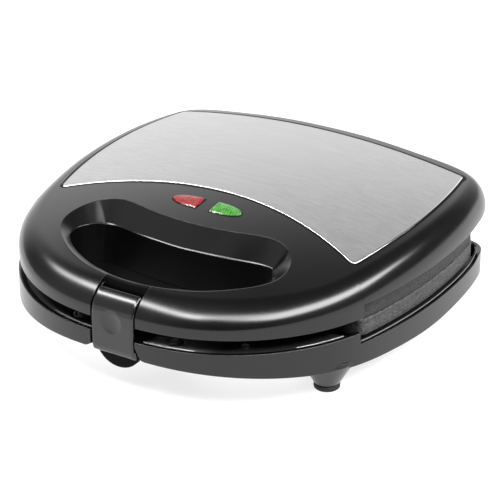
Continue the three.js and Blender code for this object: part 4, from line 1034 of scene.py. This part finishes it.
def cooking_plate(name, body, mat, inset_, mirrored, replaces_):
    z1, z0 = 25.05, 14.05
    step = 2.55 if mirrored else 0.8
    ring = plate_outline(inset_)
    n = len(ring)
    rings_ = []
    for d, z in ((3.2, z0 + 1.2), (3.0, z0 + 0.1), (2.8, z0), (1.75, z0), (1.6, z0 + 0.12), (1.55, z0 + step - 0.2), (1.4, z0 + step), (0.4, z0 + step), (0.2, z0 + step + 0.1), (0.15, z0 + step + 0.25), (0.15, z0 + 2.95), (0.15, 16.98), (0.15, 17.02), (0.15, 20.48), (0.15, 20.52), (0.15, z1 - 1.7), (0.0, z1 - 1.5), (0.0, z1 - 0.5), (0.12, z1 - 0.2), (0.35, z1 - 0.05), (0.7, z1)):
        q = shrink(ring, d)
        r3 = np.column_stack([q, np.full(n, z)])
        if 17.0 < z < 20.5:
            pocket_ = (np.abs(r3[:, 0]) < 8.6) & (r3[:, 1] < 0)
            r3[pocket_, 1] = -41.9
        rings_.append(r3)
    verts = list(np.vstack(rings_))
    faces = grid_faces(len(rings_), n)
    # Inner underside.
    faces.append(tuple(range(n))[::-1])
    # Top: a flat land round a height field with two wells and their grid of pits.
    gx_, gy_ = np.linspace(-105, 105, 141), np.linspace(-36, 75, 75)
    X, Y = np.meshgrid(gx_, gy_)
    H = np.zeros_like(X)
    for x0, x1 in ((5.0, 104.0), (-104.0, -5.0)):
        H -= 3.2 * ease(-box_distance(X, Y, x0, x1, -35.0, 74.0, 9.0) / 2.2)
        step_x, step_y = (x1 - x0 - 10) / 4, 99.0 / 4
        for i in range(4):
            for j in range(4):
                cx_, cy_ = x0 + 5 + step_x * (i + 0.5), -30 + step_y * (j + 0.5)
                H -= 3.4 * ease(-box_distance(X, Y, cx_ - step_x / 2 + 1.6, cx_ + step_x / 2 - 1.6, cy_ - step_y / 2 + 1.6, cy_ + step_y / 2 - 1.6, 1.6) / 2.4)
    base_i = len(verts)
    verts += [np.array([X[j, i], Y[j, i], z1 + H[j, i]]) for j in range(75) for i in range(141)]
    faces += [(base_i + j * 141 + i, base_i + j * 141 + i + 1, base_i + (j + 1) * 141 + i + 1, base_i + (j + 1) * 141 + i) for j in range(74) for i in range(140)]
    border = [i for i in range(141)] + [j * 141 + 140 for j in range(1, 75)] + [74 * 141 + i for i in range(139, -1, -1)] + [j * 141 for j in range(73, 0, -1)]
    top_ring = (len(rings_) - 1) * n
    index = list(range(top_ring, top_ring + n)) + [base_i + b for b in border]
    loops = [[Vector(verts[i]) for i in range(top_ring, top_ring + n)], [Vector(verts[base_i + b]) for b in border]]
    for tri in tessellate_polygon(loops):
        ids = [index[i] for i in tri]
        a_, b_, c_ = [verts[i][:2] for i in ids]
        ccw = (b_[0] - a_[0]) * (c_[1] - a_[1]) - (b_[1] - a_[1]) * (c_[0] - a_[0]) > 0
        faces.append(tuple(ids if ccw else ids[::-1]))
    v = np.array(verts)
    lug_parts = [(v, faces)]
    for lx in (-54, 54):
        rr = rounded_rect(lx - 6, lx + 6, 80.5, 85.1, 1.0, 3)
        lug = [zring(rr, z) for z in (z0 + 1, z0 + 3.3)]
        lf = grid_faces(2, len(rr)) + [tuple(range(len(rr)))[::-1], tuple(range(len(rr), 2 * len(rr)))]
        lug_parts.append((np.vstack(lug), lf))
    v, faces = combine(lug_parts)
    if mirrored:
        v = v * np.array([1, 1, -1]) + np.array([0, 0, 2 * 25.2])
        faces = [q[::-1] for q in faces]
    make(name, v, faces, body, mat, replaces=(replaces_,), slot="plate_coating", sharp=50, weighted=False)


cooking_plate("lower_plate_cast", "base", M_PLATE, 3.3, False, "lower_cooking_plate")
# The upper plate takes the darker copy of the coating: painted shade under the lid's overhang.
cooking_plate("upper_plate_cast", "lid", M_PLATE_UP_SHADED, 3.8, True, "upper_cooking_plate")

# ------------------------------------------------------------------ trim plate
def trim_outline(grow=0.0, n=150, r=3.2):
    x1, y1, kf_, x2, y2, kb, ks = 100.8, -35.6, 25.2, 101.1, 100.1, 2.0, 7.7
    front = [(x1 * t, y1 + kf_ * (1 - t * t)) for t in np.linspace(-1, 1, n)]
    side = [(x1 + (x2 - x1) * t + ks * 4 * t * (1 - t), y1 + (y2 - y1) * t) for t in np.linspace(0, 1, n)]
    rear = [(x2 * t, y2 + kb * (1 - t * t)) for t in np.linspace(1, -1, n)]
    left = [(-x, y) for x, y in side[::-1]]

    def corner(a, b):
        """Rounds the corner between the end of a and the start of b."""
        c = fillet(a[-3], a[-1], b[2], r, 6)
        return c

    segs = [front, side, rear, left]
    out = []
    for i, s_ in enumerate(segs):
        s_ = [np.array(q) for q in s_]
        nxt = [np.array(q) for q in segs[(i + 1) % 4]]
        prev_c = np.array(s_[0])
        next_c = np.array(s_[-1])
        body_ = [q for q in s_ if np.linalg.norm(q - prev_c) > r * 1.3 and np.linalg.norm(q - next_c) > r * 1.3]
        out += body_
        a0 = s_[-1] + (s_[-5] - s_[-1]) / np.linalg.norm(s_[-5] - s_[-1]) * r * 3
        b0 = nxt[0] + (nxt[4] - nxt[0]) / np.linalg.norm(nxt[4] - nxt[0]) * r * 3
        out += fillet(a0, s_[-1], b0, r, 7)
    out = np.array(out)
    if grow:
        t = np.roll(out, -1, 0) - np.roll(out, 1, 0)
        nn = np.stack([t[:, 1], -t[:, 0]], 1) / np.linalg.norm(t, axis=1, keepdims=True)
        out = out + nn * grow
    return out


TO = trim_outline()
TOn = trim_outline(1.0) - TO


def trim_ring(grow, h, rho=None):
    xy = TO + TOn * grow
    if rho is not None:
        c = np.array([0, 42.0])
        xy = c + (xy - c) * rho
    return np.column_stack([xy, dome(xy[:, 0], xy[:, 1]) + h])


rings = [trim_ring(-0.35, -0.5), trim_ring(0, -0.5), trim_ring(0, 0.12)]
edge_rings = [trim_ring(0, 0.12), trim_ring(-0.05, 0.26), trim_ring(-0.15, 0.37), trim_ring(-0.32, 0.45), trim_ring(-0.58, 0.49), trim_ring(-0.9, 0.5)]
face = [trim_ring(-0.9, 0.5), trim_ring(-1.2, 0.5)] + [trim_ring(-1.2, 0.5, rho) for rho in np.linspace(0.95, 0.05, 16)]
v = np.vstack(face + [np.array([[0, 42.0, float(dome(0, 42.0)) + 0.5]])])
n_t = len(TO)
ff = grid_faces(len(face), n_t)
c_i = len(v) - 1
lastr = (len(face) - 1) * n_t
ff += [(lastr + j, lastr + (j + 1) % n_t, c_i) for j in range(n_t)]
trim = make("trim_plate_brushed", v, ff, "lid", M_STEEL, replaces=("trim_plate",), slot="trim_steel", weighted=False)
rolled = loft("trim_plate_rolled_edge", rings + edge_rings[1:], "lid", M_STEEL_EDGE, slot="trim_steel", weighted=False, sharp=60)
# On the left and at the rear, and on the lower part of the rear half of the right side, the rolled edge where it turns
# down into the seam takes the near-black material: painted shade.
rolled.data.materials.append(M_SHADE_BLACK)
painted_shade_rows = ((TOn[:, 0] < -0.35) & (TO[:, 0] < -40)) | (TOn[:, 1] > 0.45)
painted_shade_rows = np.where(painted_shade_rows, 7.0, np.where(TOn[:, 0] > 0.4, 1 + 4 * ease((TO[:, 1] - 5) / 50), 0.0))
for i, f_ in enumerate(rolled.data.polygons):
    if i // n_t < painted_shade_rows[i % n_t]:
        f_.material_index = 1
# A near-black ribbon round the plate stands in for the shade in the seam, painted shade; it is wider on the left and at
# the rear, where the plate's raised edge hides the first millimetre.
seam = (1.15 + 0.55 * ease((TO[:, 1] + 30) / 20) * ease((20 - TO[:, 0]) / 40) + 1.1 * ease((TO[:, 1] - 92) / 8))[:, None]


def seam_ring(k, h):
    xy = TO + TOn * seam * k
    return np.column_stack([xy, dome(xy[:, 0], xy[:, 1]) + h])


loft("trim_recess_painted_shade", [seam_ring(1.0, 0.04), seam_ring(0.93, 0.09), trim_ring(0.0, 0.09), trim_ring(-0.1, 0.02)], "lid", M_SHADE_BLACK, slot="black_plastic")

# ------------------------------------------------------------------ lamp lenses
def lens_outline(s, grow=0.0, n=26):
    flat, tip, y0, y1 = 4.6, 23.1, -33.8, -23.0
    pts = []
    cy = (y0 + y1) / 2
    for t in np.linspace(-math.pi / 2, math.pi / 2, n):
        pts.append((flat + 2.5 + (tip - flat - 2.5 + grow) * math.cos(t) ** 0.9 if math.cos(t) > 0 else flat + 2.5, cy + ((y1 - y0) / 2 + grow) * math.sin(t)))
    pts = [(flat - grow + 0.7, y0 - grow)] + pts + [(flat - grow + 0.7, y1 + grow), (flat - grow, y1 + grow - 0.7), (flat - grow, y0 - grow + 0.7)]
    a = np.array(pts)
    if s < 0:
        a = (a * np.array([-1, 1]))[::-1]
    return a


for s, colour, m in ((1, "green", M_GREEN), (-1, "red", M_RED)):
    cx = s * 13.0
    cyl = -28.4
    rr = []
    for g, h in ((0.0, -1.2), (0.0, 0.3), (-0.06, 0.5), (-0.2, 0.7), (-0.42, 0.86), (-0.72, 0.95)):
        o_ = lens_outline(s, g)
        rr.append(np.column_stack([o_, dome(o_[:, 0], o_[:, 1]) + h]))
    o_ = lens_outline(s, -0.72)
    for rho in (0.8, 0.6, 0.4, 0.2, 0.04):
        xy = np.array([cx, cyl]) + (o_ - np.array([cx, cyl])) * rho
        rr.append(np.column_stack([xy, dome(xy[:, 0], xy[:, 1]) + 0.95 + 0.3 * (1 - rho**2)]))
    loft(f"lamp_lens_{colour}_domed", rr, "lid", m, cap_end=True, replaces=(f"lamp_lens_{colour}",), slot=f"lens_{colour}")
    # A thin near-black ring round the lens, laid on the shell: painted shade of the gap round it.
    gg = []
    for g, h in ((0.75, 0.03), (0.6, 0.1), (0.1, 0.1), (0.0, 0.0)):
        o_ = lens_outline(s, g)
        gg.append(np.column_stack([o_, dome(o_[:, 0], o_[:, 1]) + h]))
    loft(f"lamp_recess_shade_{colour}", gg, "lid", M_SHADE_BLACK, slot="black_plastic")

# ------------------------------------------------------------------ latch
top_arc = [(-116.9 - 14 * (math.cos(math.radians(q)) - math.cos(math.radians(66))), 44.05 - 14 * (math.sin(math.radians(66)) - math.sin(math.radians(q)))) for q in range(66, 35, -3)]
skin = rounded_profile(
    [(-115.1, 43.7), (-116.0, 44.3), *top_arc, (-123.9, 37.0), (-125.0, 33.2), (-125.4, 28), (-125.45, 21), (-125.4, 12.4), (-124.6, 9.3), (-122.6, 7.8)],
    [0, 0.5, *[0] * len(top_arc), 7, 9, 12, 14, 5, 3.5, 0], n=5)
back_skin = rounded_profile(
    [(-122.0, 7.9), (-121.9, 9.6), (-122.9, 12.2), (-123.1, 21), (-122.9, 28), (-122.5, 33.4), (-121.2, 36.8), (-119.6, 38.9), (-117.4, 40.9), (-115.0, 42.5)],
    [0, 0.6, 1.5, 6, 6, 6, 3, 3, 3, 0], n=3)


def resample(c, n):
    s_ = np.concatenate([[0], np.cumsum(np.linalg.norm(np.diff(c, axis=0), axis=1))])
    t = np.linspace(0, s_[-1], n)
    return np.stack([np.interp(t, s_, c[:, 0]), np.interp(t, s_, c[:, 1])], 1)


skin, back_skin = resample(skin, 110), resample(back_skin, 40)
tang = np.gradient(skin, axis=0)
tang /= np.linalg.norm(tang, axis=1, keepdims=True)
outn = np.stack([tang[:, 1], -tang[:, 0]], 1)
if outn[55, 0] > 0:
    outn = -outn
HALF, RAD = 14.0, 1.3
xs = np.concatenate([[-HALF, -HALF + 0.1, -HALF + 0.3, -HALF + 0.6, -HALF + 0.95, -HALF + 1.4], np.linspace(-HALF + 2.2, HALF - 2.2, 64), [HALF - 1.4, HALF - 0.95, HALF - 0.6, HALF - 0.3, HALF - 0.1, HALF]])
secs = []
for x in xs:
    q = max(0.0, abs(x) - (HALF - RAD)) / RAD
    dip = RAD * (1 - math.sqrt(max(0, 1 - q * q)))
    pr = skin - outn * dip
    # Thumb dimple
    r2 = ((x + 0.6) / 7.0) ** 2 + ((skin[:, 1] - 28.4) / 7.0) ** 2
    dim = 1.25 * np.clip(1 - r2, 0, 1) ** 1.15
    pr = pr - outn * dim[:, None]
    ring_ = np.vstack([pr, back_skin])
    secs.append(np.column_stack([np.full(len(ring_), x), ring_]))
lat = loft("latch_moulded", secs, "latch", M_LATCH, cap_start=True, cap_end=True, flip=False, replaces=("latch",), slot="latch_plastic", sharp=40)
# Knuckles round the pin, joined to the inner side of the latch.
kn = []
for a, b in ((-11.5, -5), (5, 11.5)):
    c = [(-124.2, 34.6), (-123.0, 38.4), (-120.6, 40.6)]
    arc = [(-117.8 + 3.1 * math.cos(math.radians(t)), 36.5 + 3.1 * math.sin(math.radians(t))) for t in range(80, -141, -20)]
    prof = np.array([(-122.6, 35), (-121.2, 38.6), (-119.0, 40.0)] + arc + [(-122.4, 32.6)])
    r_ = [np.column_stack([np.full(len(prof), x), prof]) for x in (a, a + 0.3, b - 0.3, b)]
    f_ = grid_faces(4, len(prof), flip=True)
    f_.append(tuple(range(len(prof))))
    f_.append(tuple(range(3 * len(prof), 4 * len(prof)))[::-1])
    kn.append((np.vstack(r_), f_))
make("latch_knuckles", *combine(kn), "latch", M_LATCH, slot="latch_plastic", sharp=40)

# Half-round boss of the base below the latch, in the darker, less reflective copy of the black plastic: painted shade
# under the latch.
v, f_ = turned([(14.0, -115.8), (15.0, -115.8), (15.5, -116.3), (15.5, -119.5), (15.1, -120.1), (14.2, -120.4), (0.6, -120.4)], 0, 14.2, 72, axis="y")
keep = v[:, 2] <= 15.5
v[:, 2] = np.minimum(v[:, 2], 13.0)
make("latch_boss", v, f_, "base", M_OPENING_SHADE, slot="black_plastic", sharp=40)

# Handle deck details: a bead along its outer edge, and collars with cross-head screws.
bead_s = np.concatenate([np.linspace(share_at_x(BASE_C, 17.5), BASE_C.nearest(111, -58), 170)])
bead_xy = BASE_C.at(bead_s) + inward(BASE_C, bead_s) * 4.75
for s, side in ((1, "right"), (-1, "left")):
    secs = []
    for i, (x, y) in enumerate(bead_xy):
        d = inward(BASE_C, bead_s[i:i + 1])[0]
        ring_ = []
        r_ = 0.28 * (1 - 0.45 * float(ease((x - 78) / 10)))
        for a in np.linspace(0, 2 * math.pi, 11)[:-1]:
            ring_.append((s * (x + d[0] * r_ * math.cos(a)), y + d[1] * r_ * math.cos(a), 19.62 - 1.1 * ease((x - 34) / 36) + 1.0 * ease((x - 84) / 10) + 1.28 * r_ * math.sin(a)))
        secs.append(np.array(ring_))
    loft(f"deck_edge_bead_{side}", secs, "base", M_BEAD, cap_start=True, cap_end=True, flip=(s > 0), slot="cover_plastic")


# A bead on the lip inside each low side window; its pale plastic is a painted highlight.
lip_s = np.linspace(share_at_y(BASE_C, BASE_WINDOW_Y + 1.2), share_at_y(BASE_C, 84), 200)
lip_xy = BASE_C.at(lip_s) + inward(BASE_C, lip_s) * 2.22
for s, side in ((1, "right"), (-1, "left")):
    secs = []
    for i, (x, y) in enumerate(lip_xy):
        d = inward(BASE_C, lip_s[i:i + 1])[0]
        k_ = math.sin(math.pi * min(0.5, min(i, 199 - i) / 12 + 0.05))
        secs.append(np.array([(s * (x + d[0] * 0.32 * k_ * math.cos(q)), y + d[1] * 0.32 * k_ * math.cos(q), 13.55 + 0.26 + 0.34 * k_ * math.sin(q) + 1.4 * float(ease((y - 72) / 14))) for q in np.linspace(0, 2 * math.pi, 11)[:-1]]))
    loft(f"window_lip_bead_{side}", secs, "base", M_LIP_GLINT, cap_start=True, cap_end=True, flip=(s > 0), slot="black_plastic")


def cross_head(x, y, z, up=1.0, r=2.9, tall=1.5, shank=1.5, length=5.0, turn=0.5):
    """Pan head with a cross recess, drawn on rings so that the recess is real."""
    n = 64
    rings_ = []
    for rad, h in ((shank, -length), (shank, 0), (r - 0.2, 0), (r, 0.2), (r, tall * 0.45), (r * 0.93, tall * 0.75), (r * 0.8, tall * 0.92)):
        a = 2 * math.pi * np.arange(n) / n
        rings_.append(np.stack([x + rad * np.cos(a), y + rad * np.sin(a), np.full(n, z + up * h)], 1))
    for rad in (0.68, 0.6, 0.52, 0.44, 0.36, 0.28, 0.2, 0.12, 0.04):
        a = 2 * math.pi * np.arange(n) / n
        px_, py_ = r * rad * np.cos(a), r * rad * np.sin(a)
        u, v_ = px_ * math.cos(turn) + py_ * math.sin(turn), -px_ * math.sin(turn) + py_ * math.cos(turn)
        in_cross = ((np.abs(u) < 0.42) & (np.abs(v_) < 1.75)) | ((np.abs(v_) < 0.42) & (np.abs(u) < 1.75))
        rings_.append(np.stack([x + px_, y + py_, z + up * (tall - np.where(in_cross, 1.0, 0.0))], 1))
    f_ = grid_faces(len(rings_), n, flip=(up < 0))
    first, last = tuple(range(n)), tuple(range((len(rings_) - 1) * n, len(rings_) * n))
    f_ += [first[::-1] if up > 0 else first, last if up > 0 else last[::-1]]
    return np.vstack(rings_), f_


for where, (hx, hy) in (("front", (31.0, -110.3)), ("side", (67, -94.5))):
    for s, side in ((1, "right"), (-1, "left")):
        v, f_ = cross_head(s * hx, hy, 18.4, turn=0.35 + 0.4 * s)
        make(f"handle_screw_{where}_{side}_cross_head", v, f_, "base", M_ZINC, replaces=(f"handle_screw_{where}_{side}",), slot="screw_steel", sharp=30, weighted=False)
        collar = [(3.55, 18.2), (3.55, 19.75), (3.75, 19.95), (4.2, 20.0), (4.65, 19.95), (4.85, 19.75), (4.85, 18.2)]
        v, f_ = turned(collar, s * hx, hy, 56, flip=True)
        f_ = f_[:-2]
        make(f"screw_collar_{where}_{side}", v, f_, "base", M_BEAD if where == "front" else M_COVER, slot="cover_plastic", sharp=40)

# ------------------------------------------------------------------ floor and light
fm, ft, fp = nodes_of("pale_floor")
fn = noise(ft, 3, 3, 0.5)
link(ft, mix_color(ft, ramp(ft, fn.outputs["Fac"], 0.3, 0.7, 0, 1), (0.26, 0.26, 0.26), (0.28, 0.28, 0.28)), fp.inputs["Base Color"])
fp.inputs["Roughness"].default_value = 0.9
fp.inputs["Specular IOR Level"].default_value = 0.0
fp.inputs["Emission Color"].default_value = (1, 1, 1, 1)
fp.inputs["Emission Strength"].default_value = 0.78
me = bpy.data.meshes.new("floor")
R_ = 6.0
me.from_pydata([(-R_, -R_, 0), (R_, -R_, 0), (R_, R_, 0), (-R_, R_, 0)], [], [(0, 1, 2, 3)])
floor = bpy.data.objects.new("floor", me)
floor.location.z = -0.0002
bpy.context.scene.collection.objects.link(floor)
me.materials.append(fm)

# The studio: a long softbox above the front right, a tall reflector at the rear left, dark elsewhere.
world = bpy.data.worlds.new("studio")
bpy.context.scene.world = world
world.use_nodes = True
wt = world.node_tree
bg = wt.nodes["Background"]


def calc(op, a, b=None, c=None):
    n = wt.nodes.new("ShaderNodeMath")
    n.operation = op
    for i, v in enumerate((a, b, c)):
        if v is None:
            continue
        if isinstance(v, (int, float)):
            n.inputs[i].default_value = v
        else:
            link(wt, v, n.inputs[i])
    return n.outputs[0]


def soft_step(v, lo, hi):
    n = wt.nodes.new("ShaderNodeMapRange")
    n.interpolation_type = "SMOOTHSTEP"
    link(wt, v, n.inputs["Value"])
    n.inputs["From Min"].default_value = lo
    n.inputs["From Max"].default_value = hi
    return n.outputs["Result"]


tc = wt.nodes.new("ShaderNodeTexCoord")
sep = wt.nodes.new("ShaderNodeSeparateXYZ")
link(wt, tc.outputs["Generated"], sep.inputs[0])
dx, dy, dz = sep.outputs
up_z = calc("MAXIMUM", dz, 0.02)
# Position where a direction meets a ceiling one unit up.
gx, gy = calc("DIVIDE", dx, up_z), calc("DIVIDE", dy, up_z)


def panel(corners, soft):
    """Share of light inside a convex outline on that ceiling, with soft edges."""
    out = None
    k = len(corners)
    for i in range(k):
        (x0, y0), (x1, y1) = corners[i], corners[(i + 1) % k]
        n = math.hypot(x1 - x0, y1 - y0)
        a, b = -(y1 - y0) / n, (x1 - x0) / n
        d = calc("ADD", calc("ADD", calc("MULTIPLY", gx, a), calc("MULTIPLY", gy, b)), -(a * x0 + b * y0))
        w = soft[i] if hasattr(soft, "__len__") else soft
        e_ = soft_step(d, -w, w)
        out = e_ if out is None else calc("MULTIPLY", out, e_)
    return calc("MULTIPLY", out, soft_step(dz, 0.12, 0.25))


key = calc(
    "MAXIMUM",
    panel([(0.3, -0.67), (0.98, -0.7), (1.42, 0.2), (1.56, 1.15), (1.22, 1.4), (0.64, 0.02)], (0.07, 0.14, 0.2, 0.22, 0.1, 0.1)),
    calc("MULTIPLY", panel([(-0.14, -0.65), (0.5, -0.67), (0.75, -0.2), (-0.12, -0.5)], (0.06, 0.1, 0.1, 0.07)), 0.72),
)
strip = calc(
    "MAXIMUM",
    calc("MULTIPLY", panel([(-0.95, -0.28), (0.04, -0.81), (0.04, -0.6), (-0.95, -0.06)], (0.08, 0.1, 0.08, 0.12)), 24.0),
    calc("MULTIPLY", panel([(-1.42, -0.03), (-0.82, -0.35), (-0.82, -0.13), (-1.42, 0.19)], (0.08, 0.1, 0.08, 0.16)), 15.5),
)
# Slow fall-off: brighter to the rear left, dim overhead and to the rear right.
t_left = calc("ADD", calc("MULTIPLY", gy, 0.62), calc("MULTIPLY", gx, -0.78))
ambient = calc("MULTIPLY", calc("MULTIPLY", soft_step(t_left, 0.4, 1.9), soft_step(dy, 0.1, 0.6)), soft_step(dx, 0.4, -0.35))
front = calc("MULTIPLY", soft_step(dy, 0.2, -0.5), soft_step(dx, 0.35, -0.6))
sky = calc("ADD", calc("MULTIPLY_ADD", ambient, 1.35, 0.13), calc("MULTIPLY", front, 0.42))
sky = calc("ADD", sky, calc("MULTIPLY", soft_step(dx, 0.6, 0.98), 0.16))
total = calc("ADD", sky, calc("ADD", calc("MULTIPLY", key, 19.0), strip))
below = soft_step(dz, 0.02, -0.02)
both_ = calc("ADD", calc("MULTIPLY", total, calc("SUBTRACT", 1, below)), calc("MULTIPLY", below, 1.2))
link(wt, both_, bg.inputs["Strength"])
bg.inputs["Color"].default_value = (1, 1, 1, 1)
world.cycles.sampling_method = "MANUAL"
world.cycles.sample_map_resolution = 1024

bpy.context.scene.view_settings.view_transform = "Standard"
bpy.context.scene.view_settings.look = "None"
